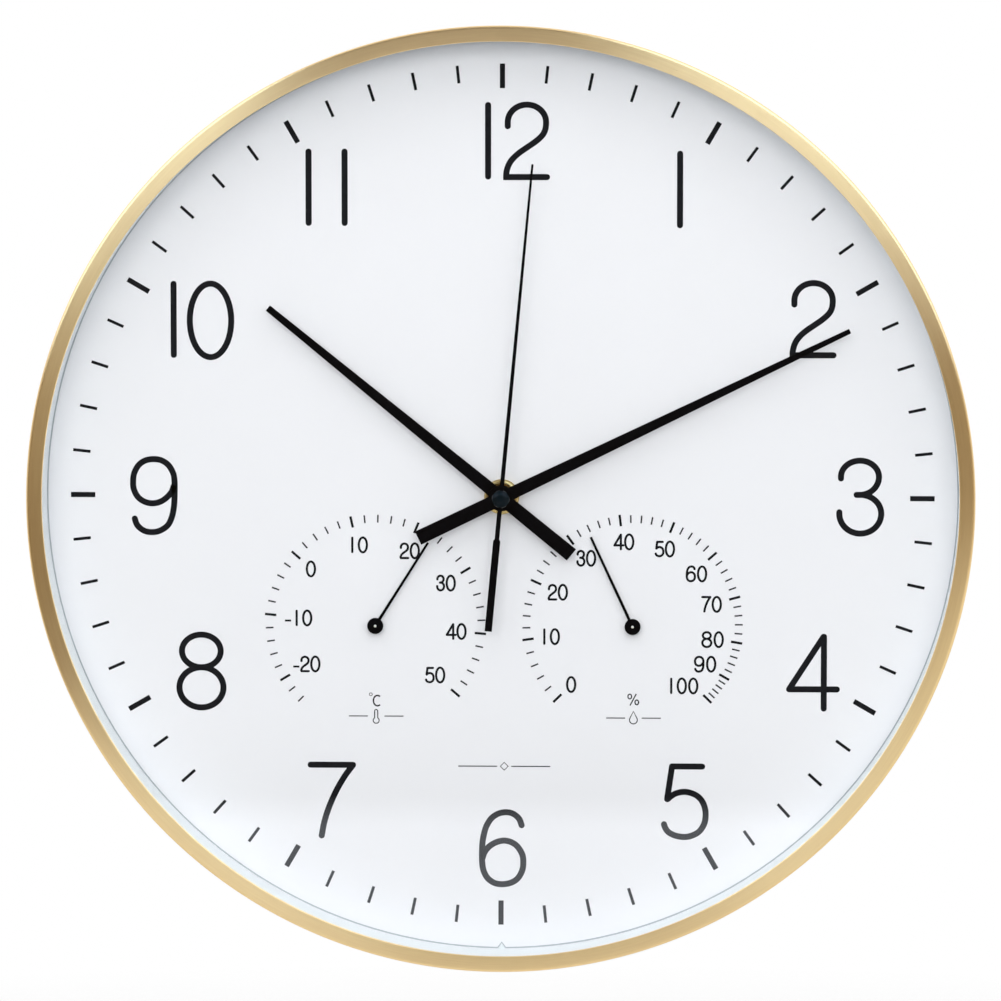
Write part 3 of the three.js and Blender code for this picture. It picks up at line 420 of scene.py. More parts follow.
mark(*rectangle(-label_half, label_half, case_high.z - label_drop, case_high.z - label_margin))
add_piece("case_marks", marks_shape, black_plastic, "case", "black_plastic")

# Dial. A stamped aluminium plate sprayed matt white and screen printed in black: sixty minute
# marks, twelve rounded numerals and the scales of the two instruments.
HAND_AXIS = -0.104
dial_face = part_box("dial_plate")[0].y
ink_lift = 0.03 * MM


def sprayed_white(name, colour):
    """Matt sprayed paint with a very fine orange peel."""
    material, paint = new_finish(name)
    place = object_place(paint)
    peel = noise(paint, place, 1400, 2)
    tint = mottled(paint, noise(paint, place, 14, 2), colour, 0.985, 1.01)
    bump = relief(paint, peel, 0.08, 0.00002)
    return coat(material, paint, tint, 0.5 + 0.1 * peel, {"Normal": bump})


dress(sprayed_white("matt_white_dial_paint", (0.882, 0.877, 0.905)), "dial_plate")


def printing_ink(name, colour):
    """Screen-printed ink, with a faint mottle where it lies thinner."""
    material, paint = new_finish(name)
    thinner = noise(paint, object_place(paint), 900, 3)
    tint = mottled(paint, thinner, colour, 0.8, 1.3)
    others = {"Specular IOR Level": 0.1, "Normal": relief(paint, thinner, 0.1, 0.00001)}
    return coat(material, paint, tint, 0.5 + 0.15 * thinner, others)


black_ink = printing_ink("black_printing_ink", (0.0045, 0.0045, 0.006))
grey_ink = printing_ink("thin_grey_ink", (0.03, 0.03, 0.034))


def on_dial(x, z, lift=ink_lift):
    """A point of the print, from millimetres right of and above the hand axis."""
    return Vector((x * MM, dial_face - lift, HAND_AXIS + z * MM))


def under_ink(x, z):
    return on_dial(x, z, -ink_lift / 3)


def print_bar(shape, centre, inner, outer, width, degrees_right):
    """Adds a mark that points at a centre, between two radii, at an angle from 12 o'clock."""
    angle = radians(degrees_right)
    out, side = (sin(angle), cos(angle)), (cos(angle), -sin(angle))
    corners = [
        [centre[axis] + out[axis] * reach + side[axis] * width / 2 * hand for axis in (0, 1)]
        for reach, hand in ((inner, -1), (outer, -1), (outer, 1), (inner, 1))
    ]
    top = [shape.verts.new(on_dial(*corner)) for corner in corners]
    low = [shape.verts.new(under_ink(*corner)) for corner in corners]
    shape.faces.new(top)
    shape.faces.new(low[::-1])
    for k in range(4):
        shape.faces.new((top[k], low[k], low[(k + 1) % 4], top[(k + 1) % 4]))


# The inner and outer radius and the width of a mark.
hour_mark, minute_mark, track_turn = (129.95, 137.75, 1.66), (132.15, 137.75, 0.95), 0.1
track_shape = bmesh.new()
for minute in range(60):
    sizes = minute_mark if minute % 5 else hour_mark
    print_bar(track_shape, (0, 0), *sizes, minute * 6 + track_turn)
add_piece("minute_track", track_shape, black_ink, "case", "dial_white")


def smooth(points, parts=6):
    """A smooth curve through all the points."""
    ends = [points[0], *points, points[-1]]
    curve = []
    for corners in zip(ends, ends[1:], ends[2:], ends[3:]):
        for k in range(parts):
            t = k / parts
            inner = (2 - 5 * t * t + 3 * t**3, t + 4 * t * t - 3 * t**3)
            weights = (2 * t * t - t - t**3, *inner, t**3 - t * t)
            pairs = [zip(weights, part) for part in zip(*corners)]
            curve.append([sum(weight * part for weight, part in pair) / 2 for pair in pairs])
    return curve + [points[-1]]


# Each figure is a list of pen strokes in millimetres about its middle, on a body 24.5 high.
# A stroke is its points and whether its two ends are round.
six = smooth([
    (6.2, 7.6), (5.3, 9.8), (3.3, 11.35), (1.0, 11.75), (-1.3, 11.25), (-3.45, 9.8),
    (-5.05, 7.25), (-5.85, 4.65), (-6.3, 2.1), (-6.47, -1.2), (-6.42, -4.35), (-6.0, -7.0),
    (-4.7, -9.5), (-2.5, -11.05), (0.05, -11.45), (2.8, -10.95), (5.0, -9.5), (6.4, -6.95),
    (6.73, -4.35), (6.4, -1.8), (4.8, 0.8), (2.8, 2.15), (0.6, 2.6), (-1.7, 2.15), (-4.05, 0.8),
    (-5.6, -1.1), (-6.35, -3.2),
])
nine = smooth([
    (-6.2, -7.5), (-5.4, -9.6), (-3.3, -11.35), (-0.7, -11.83), (1.8, -11.35), (4.3, -9.65),
    (5.6, -7.1), (6.2, -4.5), (6.48, -1.95), (6.58, 1.3), (6.55, 4.5), (6.13, 7.05), (4.65, 9.6),
    (2.5, 11.1), (0, 11.53), (-2.7, 11.1), (-4.9, 9.6), (-6.3, 7.05), (-6.68, 4.5), (-6.46, 1.9),
    (-5.1, -0.65), (-3.0, -2.1), (-0.6, -2.6), (1.8, -2.15), (3.9, -0.85), (5.6, 1.1), (6.35, 3.2),
])
two = [(-6.0, 4.6)] + arc(0.07, 5.9, 6.07, 5.5, 180, 0)
two += smooth([
    (6.14, 5.4), (5.9, 3.6), (5.04, 1.83), (3.0, -0.1), (0.29, -2.0), (-2.45, -3.9),
    (-4.52, -5.83), (-5.75, -7.75), (-6.4, -9.9), (-6.5, -11.5),
])
three_top = arc(-0.25, 6.55, 6.03, 5.15, 186, 0) + arc(-0.25, 6.55, 6.03, 5.75, -6, -90)
three_top += [(-1.3, 0.8)]
three_foot = arc(-0.1, -5.2, 6.65, 6.02, 86, 6) + arc(-0.1, -5.2, 6.65, 6.34, 0, -184)
five = smooth([
    (-5.6, 0.7), (-3.3, 2.4), (-0.3, 3.1), (2.7, 2.45), (4.9, 0.9), (6.2, -1.5), (6.6, -4.1),
    (6.2, -7.0), (4.6, -9.6), (2.0, -11.05), (-0.45, -11.42), (-3.0, -11.0), (-5.1, -10.0),
    (-6.2, -8.65), (-6.68, -7.35),
])
seven = smooth([
    (6.9, 11.5), (4.46, 8.23), (2.13, 4.36), (0.24, 0.5), (-1.29, -3.37), (-2.44, -7.24),
    (-3.2, -11.3),
])
rounded, square = (True, True), (False, False)
round_start, round_end = (True, False), (False, True)
figures = {
    "0": [(arc(0, 0, 6.6, 11.7, 0, 360), square)],
    "1": [([(0, 11.3), (0, -11.3)], rounded)],
    "2": [(two, round_start), ([(-7.475, -11.5), (6.45, -11.5)], round_end)],
    "3": [(three_top, rounded), (three_foot, round_end)],
    "4": [
        ([(3.35, 11.4), (-7.55, -5.45)], rounded),
        ([(-7.55, -5.45), (7.65, -5.45)], rounded),
        ([(3.5, 11.4), (3.5, -11.6)], rounded),
    ],
    "5": [
        ([(5.45, 11.25), (-4.15, 11.25)], rounded),
        ([(-4.15, 11.25), (-5.7, 0.75)], rounded),
        (five, rounded),
    ],
    "6": [(six, round_start)],
    "7": [([(-6.7, 11.5), (6.75, 11.5)], rounded), (seven, rounded)],
    "8": [
        (arc(0, 6.45, 6.2, 5.25, 0, 360), square),
        (arc(0, -5.25, 7.05, 6.45, 0, 360), square),
    ],
    "9": [(nine, round_start)],
}


def pen_stroke(shape, points, width, round_ends, lift=ink_lift):
    """Adds one stroke of ink."""
    stroke(shape, points, width, round_ends, lambda x, z: on_dial(x, z, lift), under_ink)


def print_figure(shape, sign, centre, height, pen, squeeze=1.0):
    """Adds a figure of a height at a centre, in millimetres."""
    scale = height / 24.5
    for number, (points, round_ends) in enumerate(figures[sign]):
        placed = [(centre[0] + x * scale * squeeze, centre[1] + z * scale) for x, z in points]
        pen_stroke(shape, placed, pen, round_ends, ink_lift * (1 + 0.1 * number))


hour_figures = [
    ("1", -4.33, 113.29), ("2", 7.92, 113.32), ("1", 56.59, 97.92), ("2", 98.95, 56.89),
    ("3", 114.25, 0.11), ("4", 99.3, -55.95), ("5", 58.63, -97.67), ("6", 0.16, -113.2),
    ("7", -54.54, -97.9), ("8", -96.2, -56.35), ("9", -111.12, 0.1), ("1", -104.59, 56.34),
    ("0", -92.83, 56.04), ("1", -61.43, 98.48), ("1", -49.96, 98.48),
]
figure_height, figure_pen = 24.55, 1.95
figures_shape = bmesh.new()
for sign, x, z in hour_figures:
    print_figure(figures_shape, sign, (x, z), figure_height, figure_pen)
add_piece("hour_numerals", figures_shape, black_ink, "case", "dial_white")

# Instrument scales. The thermometer's runs from -24 to 50 degrees in even steps of two, and the
# hygrometer's from 0 to 100 per cent in steps that narrow, both printed with the numerals.
label_height, label_pen, label_gap = 4.95, 0.73, 0.40
label_widths = {
    "0": (3.25, 0.97), "1": (2.7, 1), "2": (2.6, 0.92), "3": (2.4, 0.82), "4": (2.55, 0.92),
    "5": (2.55, 0.9), "6": (3.15, 0.97), "7": (2.65, 0.92), "8": (3.55, 1), "9": (3.55, 1),
}
minus_length, minus_width, minus_left, minus_drop = 2.0, 0.62, 4.6, 0.85


def print_label(shape, text, x, z):
    """Adds a number whose digits are centred on a point, with its minus sign before them."""
    digits = text.lstrip("-")
    if digits != text:
        middle, level = x - minus_left, z - minus_drop
        ends = [(middle - minus_length / 2, level), (middle + minus_length / 2, level)]
        pen_stroke(shape, ends, minus_width, square)
    widths = [label_widths[sign] for sign in digits]
    left = x - (sum(width for width, squeeze in widths) + label_gap * (len(digits) - 1)) / 2
    for sign, (width, squeeze) in zip(digits, widths):
        print_figure(shape, sign, (left + width / 2, z), label_height, label_pen, squeeze)
        left += width + label_gap


thermometer_centre, hygrometer_centre = (-40.38, -41.10), (41.76, -40.96)
zero_angle, angle_per_degree = -48.9, 3.592
long_mark, short_mark = (31.85, 35.5, 0.78), (32.65, 35.15, 0.50)
long_marks, short_marks = bmesh.new(), bmesh.new()


def scale_mark(centre, angle, is_long):
    shape, sizes = (long_marks, long_mark) if is_long else (short_marks, short_mark)
    print_bar(shape, centre, *sizes, angle)


for value in range(-24, 52, 2):
    scale_mark(thermometer_centre, zero_angle + angle_per_degree * value, value % 10 == 0)
humidity_angles = [-134.6, -98.16, -66.18, -36.2, -6.77, 21.92, 48.96, 75.03, 99.5, 119.62, 134.72]
scale_mark(hygrometer_centre, humidity_angles[-1], True)
for angle, following in zip(humidity_angles, humidity_angles[1:]):
    for fifth in range(5):
        scale_mark(hygrometer_centre, angle + (following - angle) * fifth / 5, fifth == 0)
scale_labels = [
    ("-20", -61.16, -53.93), ("-10", -63.78, -39.15), ("0", -61.0, -23.39), ("10", -45.92, -15.63),
    ("20", -29.27, -17.46), ("30", -17.70, -27.79), ("40", -14.34, -43.29), ("50", -21.17, -57.32),
    ("0", 22.19, -60.19), ("10", 15.43, -44.83), ("20", 18.01, -30.58), ("30", 27.10, -19.67),
    ("40", 39.18, -14.37), ("50", 52.16, -16.6), ("60", 62.12, -24.54), ("70", 67.08, -34.27),
    ("80", 67.28, -45.58), ("90", 64.89, -53.47), ("100", 57.8, -60.48),
]
for text, x, z in scale_labels:
    print_label(long_marks, text, x, z)
add_piece("scale_marks", long_marks, black_ink, "case", "dial_white")

# The signs for degrees Celsius and per cent stand under the hubs, with a small plain picture of
# a thermometer and of a drop below them, and a short ornamental rule lower down between the two.
sign_pen, ring_pen, slash_pen, rule_pen = 0.5, 0.22, 0.42, 0.34
celsius, per_cent = (-39.79, -65.64), (42.0, -64.98)


def fine_line(points, pen, round_ends=square):
    pen_stroke(short_marks, points, pen, round_ends)


def thin_loop(x, z, across, up, pen):
    fine_line(arc(x, z, across, up, 0, 360, 20), pen)


thin_loop(celsius[0] - 2.12, celsius[1] + 2.02, 0.47, 0.47, ring_pen)
fine_line(arc(*celsius, 1.28, 1.66, 50, 310), sign_pen)
x, z = per_cent
fine_line([(x - 1.0, z - 1.9), (x + 1.0, z + 1.9)], slash_pen)
thin_loop(x - 1.08, z + 1.01, 0.58, 0.75, slash_pen)
thin_loop(x + 1.17, z - 0.85, 0.58, 0.75, slash_pen)
stem, bulb, bulb_drop, tube_rise = (-40.2, -70.6), 0.95, 1.4, 1.6
x, z = stem
outline = arc(x, z - bulb_drop, bulb, bulb, 122, 418, 18)
fine_line(outline + arc(x, z + tube_rise, 0.5, 0.5, 0, 180, 30) + outline[:1], rule_pen, rounded)
drop, drop_tip, drop_radius = (42.1, -70.9), 2.2, 1.25
x, z = drop
outline = arc(x, z - 0.6, drop_radius, drop_radius, 150, 390, 15)
fine_line([(x, z + drop_tip)] + outline + [(x, z + drop_tip)], rule_pen)


def rule_beside(x, z, gap, reach):
    """Adds a thin level rule on either side of a point."""
    for side in (-1, 1):
        fine_line([(x + side * gap, z), (x + side * reach, z)], rule_pen, rounded)


rule_beside(*stem, 2.8, 8.6)
rule_beside(*drop, 2.8, 8.6)
rule_middle, diamond = (0.8, -86.6), 1.25
rule_beside(*rule_middle, 2.4, 14.6)
fine_line(arc(*rule_middle, diamond, diamond, 0, 360, 90), rule_pen)
add_piece("fine_marks", short_marks, grey_ink, "case", "dial_white")

# Bushing, washer and nut. Turned brass: the movement's threaded bushing stands through the dial
# and the round nut pulls the movement up against it over a flat washer.


def distance(paint, across, up):
    """How far a place lies from an axis."""
    return paint.maths("SQRT", across * across + up * up)


def turned_metal(name, colour, roughness):
    """Turned metal: fine tool rings about the hand axis, and a slow change of gloss."""
    material, paint = new_finish(name)
    across, along, height = components(paint)
    run, ring = distance(paint, across, height - HAND_AXIS) - along, 0.00008
    sockets = {"W": run * (1 / ring), "Scale": 1, "Detail": 3}
    rings = paint.node("ShaderNodeTexNoise", {"noise_dimensions": "1D"}, sockets)
    tint = mottled(paint, noise(paint, object_place(paint), 300, 3), colour, 0.9, 1.05)
    others = {"Metallic": 1.0, "Normal": relief(paint, rings, 0.3, 0.000008)}
    return coat(material, paint, tint, roughness - 0.05 + 0.1 * rings, others)


def about_hands(across, up, fore):
    """Places a turned point about the hand axis, at a distance in front of the wall."""
    return Vector((across, -fore, HAND_AXIS + up))


def sizes_of(node):
    """A node's half width, and how far its rear and front stand off the wall, in millimetres."""
    low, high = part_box(node)
    return (high.x - low.x) / 2 / MM, -high.y / MM, -low.y / MM


turned_brass = turned_metal("turned_brass", (0.60, 0.44, 0.18), 0.27)
dress(turned_brass, "minute_pipe")
bore_radius, ease, nut_chamfer = 4.15, 0.12, 0.4
radius, rear, fore = sizes_of("bushing_washer")
washer_profile = [
    [bore_radius, rear], [radius, rear], [radius, fore - ease], [radius - ease, fore],
    [bore_radius, fore],
]
washer = turned_piece(
    "brass_washer", washer_profile, 96, about_hands, turned_brass, "case", "brass"
)
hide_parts("bushing_washer")
radius, rear, fore = sizes_of("fixing_nut")
nut_profile = [
    [bore_radius, rear], [radius - ease, rear], [radius, rear + ease], [radius, fore - nut_chamfer],
    [radius - nut_chamfer, fore - ease / 2], [radius - nut_chamfer - ease, fore],
    [bore_radius + ease * 2, fore], [bore_radius, fore - ease * 2],
]
nut = turned_piece("round_nut", nut_profile, 96, about_hands, turned_brass, "case", "brass")
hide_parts("fixing_nut")
radius, rear, fore = sizes_of("threaded_bushing")
flange_fore = rear + 0.8
crest, pitch, thread_depth, hollow = 4.0, 0.75, 0.3, 2.75
core = crest - thread_depth
bushing_profile = [
    [hollow, rear], [radius, rear], [radius, flange_fore], [core, flange_fore], [core, fore],
    [hollow, fore],
]
bushing_shape = bmesh.new()
turn(bushing_shape, bushing_profile, 72, about_hands)
threads, steps = int((fore - flange_fore - 0.6) / pitch), 36
foot = crest - thread_depth * 1.1
thread_section = ((foot, -0.32), (crest, -0.06), (crest, 0.06), (foot, 0.32))
spiral = []
for k in range(threads * steps + 1):
    angle, along = 2 * pi * k / steps, flange_fore + 0.3 + pitch * k / steps
    row = [(r * cos(angle), r * sin(angle), along + a * pitch) for r, a in thread_section]
    spiral.append([bushing_shape.verts.new(about_hands(*(Vector(point) * MM))) for point in row])
for near, far in zip(spiral, spiral[1:]):
    for k in range(4):
        bushing_shape.faces.new((near[k], near[(k + 1) % 4], far[(k + 1) % 4], far[k]))
bushing_shape.faces.new(spiral[0])
bushing_shape.faces.new(spiral[-1][::-1])
bushing = add_piece("bushing_with_thread", bushing_shape, turned_brass, "case", "brass")
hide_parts("threaded_bushing")
dress(moulded("black_rubber", (0.012, 0.012, 0.012), 0.8, grain=0.0006), "rubber_gasket")

# Instrument pointers. Photo-etched steel needles riveted to turned black hubs, each pressed on a
# brass arbor whose end shows as a bright pin.


def satin_lacquer(name, colour, roughness, gleam):
    """Satin black lacquer, a little duller where it is thick."""
    material, paint = new_finish(name)
    place = object_place(paint)
    mist = noise(paint, place, 2200, 2)
    tint = mottled(paint, noise(paint, place, 90, 2), colour, 0.8, 1.2)
    others = {"Specular IOR Level": gleam, "Normal": relief(paint, mist, 0.12, 0.00001)}
    return coat(material, paint, tint, roughness - 0.05 + 0.1 * mist, others)


hand_lacquer = satin_lacquer("satin_black_lacquer", (0.0010, 0.0010, 0.0018), 0.42, 0.03)
turned_pin = turned_metal("brass_arbor", (0.96, 0.90, 0.74), 0.5)


def plate_piece(name, loops, centre, degrees_right, depths, finish, body, slot, ease_edge):
    """A flat piece from closed outlines of (right, up) about a centre, the first one its edge and
    the rest its holes, turned to its rest angle, with its front edge eased. In millimetres but
    for the centre."""
    shape = bmesh.new()
    edges, angle = [], radians(degrees_right)
    out, up = cos(angle), sin(angle)
    rear, fore = [depth * MM for depth in depths]
    for loop in loops:
        turned = [(x * out + z * up, z * out - x * up) for x, z in loop]
        points = [(centre[0] + x * MM, -rear, centre[1] + z * MM) for x, z in turned]
        verts = [shape.verts.new(point) for point in points]
        edges += [shape.edges.new((a, b)) for a, b in zip(verts, verts[1:] + verts[:1])]
    bmesh.ops.triangle_fill(shape, use_beauty=True, edges=edges)
    made = bmesh.ops.extrude_face_region(shape, geom=shape.faces[:])
    front = {item for item in made["geom"] if isinstance(item, bmesh.types.BMVert)}
    bmesh.ops.translate(shape, verts=list(front), vec=(0, rear - fore, 0))
    rim = [
        edge
        for edge in shape.edges
        if front.issuperset(edge.verts)
        and any(abs(f.normal.y) < 0.5 or not front.issuperset(f.verts) for f in edge.link_faces)
    ]
    bmesh.ops.recalc_face_normals(shape, faces=shape.faces)
    width = ease_edge * MM
    bmesh.ops.bevel(shape, geom=rim, offset=width, segments=2, affect="EDGES", clamp_overlap=True)
    return add_piece(name, shape, finish, body, slot, sharp=50)


needle_length, needle_root, needle_tip, needle_start = 31.6, 0.93, 0.75, 2.15
hub_radius, hub_bore, hub_edge, hub_height = 2.55, 0.65, 0.3, 1.2
pin_radius, pin_nose, nose_step, collar_radius = 0.6, 0.42, 0.75, 1.7
needle_rear, needle_thickness = 21.5, 0.4
hub_fore = needle_rear + hub_height
coil_rear, coil_fore = sizes_of("bimetal_coil")[1:]
needle = [(needle_root / 2, needle_start), (needle_tip / 2, needle_length)]
needle = [(-x, z) for x, z in needle] + needle[::-1]
hub_profile = [
    [hub_bore, needle_rear], [hub_radius, needle_rear], [hub_radius, hub_fore - hub_edge],
    [hub_radius - hub_edge / 2, hub_fore - hub_edge / 3], [hub_radius - hub_edge, hub_fore],
    [pin_nose + 0.12, hub_fore], [pin_nose + 0.04, hub_fore - 0.08],
    [pin_nose + 0.04, needle_rear + nose_step], [hub_bore, needle_rear + nose_step],
]
for instrument, degrees_right in (("thermometer", 32.3), ("hygrometer", 335.0)):
    arbor_low, arbor_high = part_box(instrument + "_arbor")
    centre = ((arbor_low.x + arbor_high.x) / 2, (arbor_low.z + arbor_high.z) / 2)
    rear, fore = sizes_of(instrument + "_arbor")[1:]
    body = instrument + "_needle"
    name, depths = instrument + "_needle_blade", (needle_rear, needle_rear + needle_thickness)
    look = (hand_lacquer, body, "black_lacquer")
    pointer = plate_piece(name, [needle], centre, degrees_right, depths, *look, 0.05)
    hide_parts(instrument + "_pointer")

    def about_arbor(across, up, fore):
        return Vector((centre[0] + across, -fore, centre[1] + up))

    pin_profile = [
        [0, rear], [pin_radius - 0.1, rear], [pin_radius, rear + 0.1], [pin_radius, coil_rear],
        [collar_radius - 0.1, coil_rear], [collar_radius, coil_rear + 0.1],
        [collar_radius, coil_fore - 0.1], [collar_radius - 0.1, coil_fore], [pin_radius, coil_fore],
        [pin_radius, needle_rear + nose_step - 0.08], [pin_nose, needle_rear + nose_step - 0.04],
        [pin_nose, fore - 0.12], [pin_nose * 0.7, fore - 0.03], [0, fore],
    ]
    pin = turned_piece(instrument + "_pin", pin_profile, 32, about_arbor, turned_pin, body, "brass")
    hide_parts(instrument + "_arbor")
    turned_piece(instrument + "_hub", hub_profile, 48, about_arbor, *look)

# Hands. Blanked from thin aluminium, lacquered satin black and pressed on the pipes by their
# collets: tapered blades with square ends for hours and minutes, a weighted needle for seconds.
root_width, shoulder_width, tail_width, disc_radius = 4.07, 4.33, 4.65, 4.1


def disc_between(radius, lower, upper, step):
    """The right half of a hand's disc, between the two half widths of what leaves it."""
    first = -degrees(atan2(sqrt(radius**2 - lower**2), lower))
    last = degrees(atan2(sqrt(radius**2 - upper**2), upper))
    return arc(0, 0, radius, radius, first, last, step)


def blade(length, tail, tip_width):
    """Outline of a tapered blade that swells to a disc round its axis."""
    disc = disc_between(disc_radius, shoulder_width / 2, root_width / 2, 7)
    right = [(tail_width / 2, -tail)] + disc + [(tip_width / 2, length)]
    return right + [(-x, z) for x, z in reversed(right)]


def circle(radius, steps):
    angles = [2 * pi * k / steps for k in range(steps)]
    return [(radius * sin(a), radius * cos(a)) for a in angles]


def hand(name, degrees_right, outline, bore, collet_rear, thickness=0.5, ease_edge=0.12, steps=48):
    """A flat hand at its angle about the hand axis, and the collet that it is pressed on by."""
    fore = sizes_of(name)[2]
    rear, look = fore - thickness, (hand_lacquer, name + "_set", "black_lacquer")
    loops, rest = [outline, circle(bore, steps)], ((0, HAND_AXIS), degrees_right)
    flat = plate_piece(name + "_blade", loops, *rest, (rear, fore), *look, ease_edge)
    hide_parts(name)
    collet = [[bore, collet_rear], [bore + 0.8, collet_rear], [bore + 0.8, rear], [bore, rear]]
    turned_piece(name + "_collet", collet, 48, about_hands, *look)


hour_outline, minute_outline = blade(95.6, 28.8, 2.12), blade(122.8, 29.3, 1.58)
hand("hour_hand", 309.1, hour_outline, bore=2.55, collet_rear=23.2)
hand("minute_hand", 64.18, minute_outline, bore=1.65, collet_rear=25.0)
needle_reach, needle_tail = 106.7, 42.5
needle_half, tip_half, rod_half, weight_half = 0.69, 0.36, 0.735, 1.15
weight_start, second_disc = 13.1, 2.2
right = [(weight_half, -needle_tail), (weight_half, -(weight_start + 0.55))]
right += [(weight_half - 0.12, -(weight_start + 0.15)), (rod_half + 0.1, -weight_start)]
right += [(rod_half, -weight_start)] + disc_between(second_disc, rod_half, needle_half, 12)
right += arc(0, needle_reach - tip_half, tip_half, tip_half, 0, 90, 22)
outline = right + [(-x, z) for x, z in reversed(right[:-1])]
hand("second_hand", 5.4, outline, 0.55, 27.2, thickness=0.3, ease_edge=0.06, steps=24)

# Hub cap. A small domed button, stamped and lacquered glossy black, pressed over the end of the
# second hand's arbor.
gloss_lacquer = satin_lacquer("gloss_black_lacquer", (0.002, 0.007, 0.011), 0.16, 0.12)
rear, fore = sizes_of("second_hand_cap")[1:]
cap_radius, cap_skirt, cap_bore, cap_roof, fullness, flatness = 2.85, 0.57, 0.55, 0.6, 3.2, 1.8
cap_profile = [
    [0, rear + cap_roof], [cap_bore, rear + cap_roof], [cap_bore, rear],
    [cap_radius - 0.1, rear], [cap_radius, rear + 0.1],
]
for angle in range(0, 90, 6):
    across = cos(radians(angle))
    rise = (fore - rear - cap_skirt) * (1 - across**fullness) ** (1 / flatness)
    cap_profile.append([cap_radius * across, rear + cap_skirt + rise])
cap_profile.append([0, fore])
cap = turned_piece(
    "domed_cap", cap_profile, 64, about_hands, gloss_lacquer, "second_hand_set", "black_lacquer"
)
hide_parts("second_hand_cap")

# Spacer ring. A white polystyrene hoop that keeps the glass off the dial, with a small locating
# key at 6 o'clock. A thin grey strip laid on the dial along its foot is a painted shadow where
# its edge meets the dial.
inner, outer, rear, fore = 145.35, 148.5, 20.2, 36.4
edge, foot_height, foot_depth = 0.25, 1.3, 0.7
spacer_profile = [
    [inner, rear + foot_height], [inner + foot_depth, rear + foot_height],
    [inner + foot_depth, rear], [outer, rear], [outer, fore], [inner + edge, fore],
    [inner, fore - edge],
]


def smooth_plastic(name, colour, roughness):
    return moulded(name, colour, roughness, grain=0.0008, depth=0.00001, drift=0.02)


spacer_plastic = smooth_plastic("white_spacer_plastic", (0.84, 0.89, 0.905), 0.38)
spacer = turned_piece(
    "white_spacer", spacer_profile, 256, about_hands, spacer_plastic, "case", "white_plastic"
)
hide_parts("spacer_ring")
key_half, key_point, key_root, key_thickness = 1.15, 1.45, 0.8, 1.5
key_outline = [
    (-key_half, -inner - key_root), (key_half, -inner - key_root), (key_half, -inner),
    (0, key_point - inner), (-key_half, -inner),
]
depths, look = (rear, rear + key_thickness), (spacer_plastic, "case", "white_plastic")
plate_piece("locating_key", [key_outline], (0, HAND_AXIS), 0, depths, *look, 0.1)
# Painted shadow: a thin grey strip on the dial round the spacer's foot and its key, standing in for
# the shade where the spacer meets the dial.
shadow_line_radius, shadow_line_width = inner - 0.15, 0.42
key_side = degrees(atan2(key_half + 0.15, shadow_line_radius))
shadow_line_path = arc(0, 0, shadow_line_radius, shadow_line_radius, -90 + key_side, 270 - key_side, 2)
shadow_line_path += [(0, -shadow_line_radius + key_point + 0.3), shadow_line_path[0]]
shadow_line_shape = bmesh.new()
pen_stroke(shadow_line_shape, shadow_line_path, shadow_line_width, square)
painted_shadow_plastic = smooth_plastic("painted_shadow_at_spacer_foot", (0.42, 0.46, 0.48), 0.5)
add_piece("painted_shadow_line_at_spacer_foot", shadow_line_shape, painted_shadow_plastic, "case", "white_plastic")

# Glass. A disc of 2 mm clear float glass with ground edges, dropped into the frame from behind
# and held against its lip by the spacer ring.
glass, paint = new_finish("clear_float_glass")
fresnel = paint.node("ShaderNodeFresnel", {}, {"IOR": 1.52})
away = paint.node("ShaderNodeNewGeometry", output="Backfacing")
smear = noise(paint, object_place(paint), 25, 2)
mirror_share = paint.maths("MINIMUM", fresnel * 2 * (1 - away) * (0.97 + 0.06 * smear), 1)
clear = paint.node("ShaderNodeBsdfTransparent", {}, {"Color": (0.994, 0.998, 0.996)})
mirror = paint.node("ShaderNodeBsdfGlossy", {}, {"Color": (1, 1, 1), "Roughness": 0.0})
mixed = paint.node("ShaderNodeMixShader", {}, {0: mirror_share, 1: clear, 2: mirror})
paint.node("ShaderNodeOutputMaterial", {}, {"Surface": mixed})
dress(glass, "glass_lens")

# Frame. Spun from aluminium, its lip brushed in circles on the lathe, anodised champagne gold,
# and its rear edge rolled in over the back once everything is inside.
rim_radius, lip_inner, hoop_inner = 150.0, 145.0, 148.8
rim_fore, lip_rear, rolled_inner, rolled_thickness, rounding = 40.0, 38.8, 146.5, 1.2, 1.0
fore_centre, rear_radius, rear_rounding = rim_radius - rounding, rim_radius - 0.8, 0.8
frame_profile = [[lip_inner, rim_fore - 0.15], [lip_inner + 0.15, rim_fore]]
for angle in range(0, 91, 9):
    out, up = rounding * sin(radians(angle)), rounding * cos(radians(angle))
    frame_profile.append([fore_centre + out, rim_fore - rounding + up])
for angle in range(0, 91, 15):
    out, up = rear_rounding * cos(radians(angle)), rear_rounding * sin(radians(angle))
    frame_profile.append([rear_radius - rear_rounding + out, rear_rounding - up])
frame_profile += [
    [rolled_inner + 0.3, 0], [rolled_inner, 0.3], [rolled_inner, rolled_thickness],
    [hoop_inner, rolled_thickness], [hoop_inner, lip_rear], [lip_inner, lip_rear],
]
frame_shape = bmesh.new()
turn(frame_shape, frame_profile, 360, lambda x, y, z: Vector((x, y, z)))


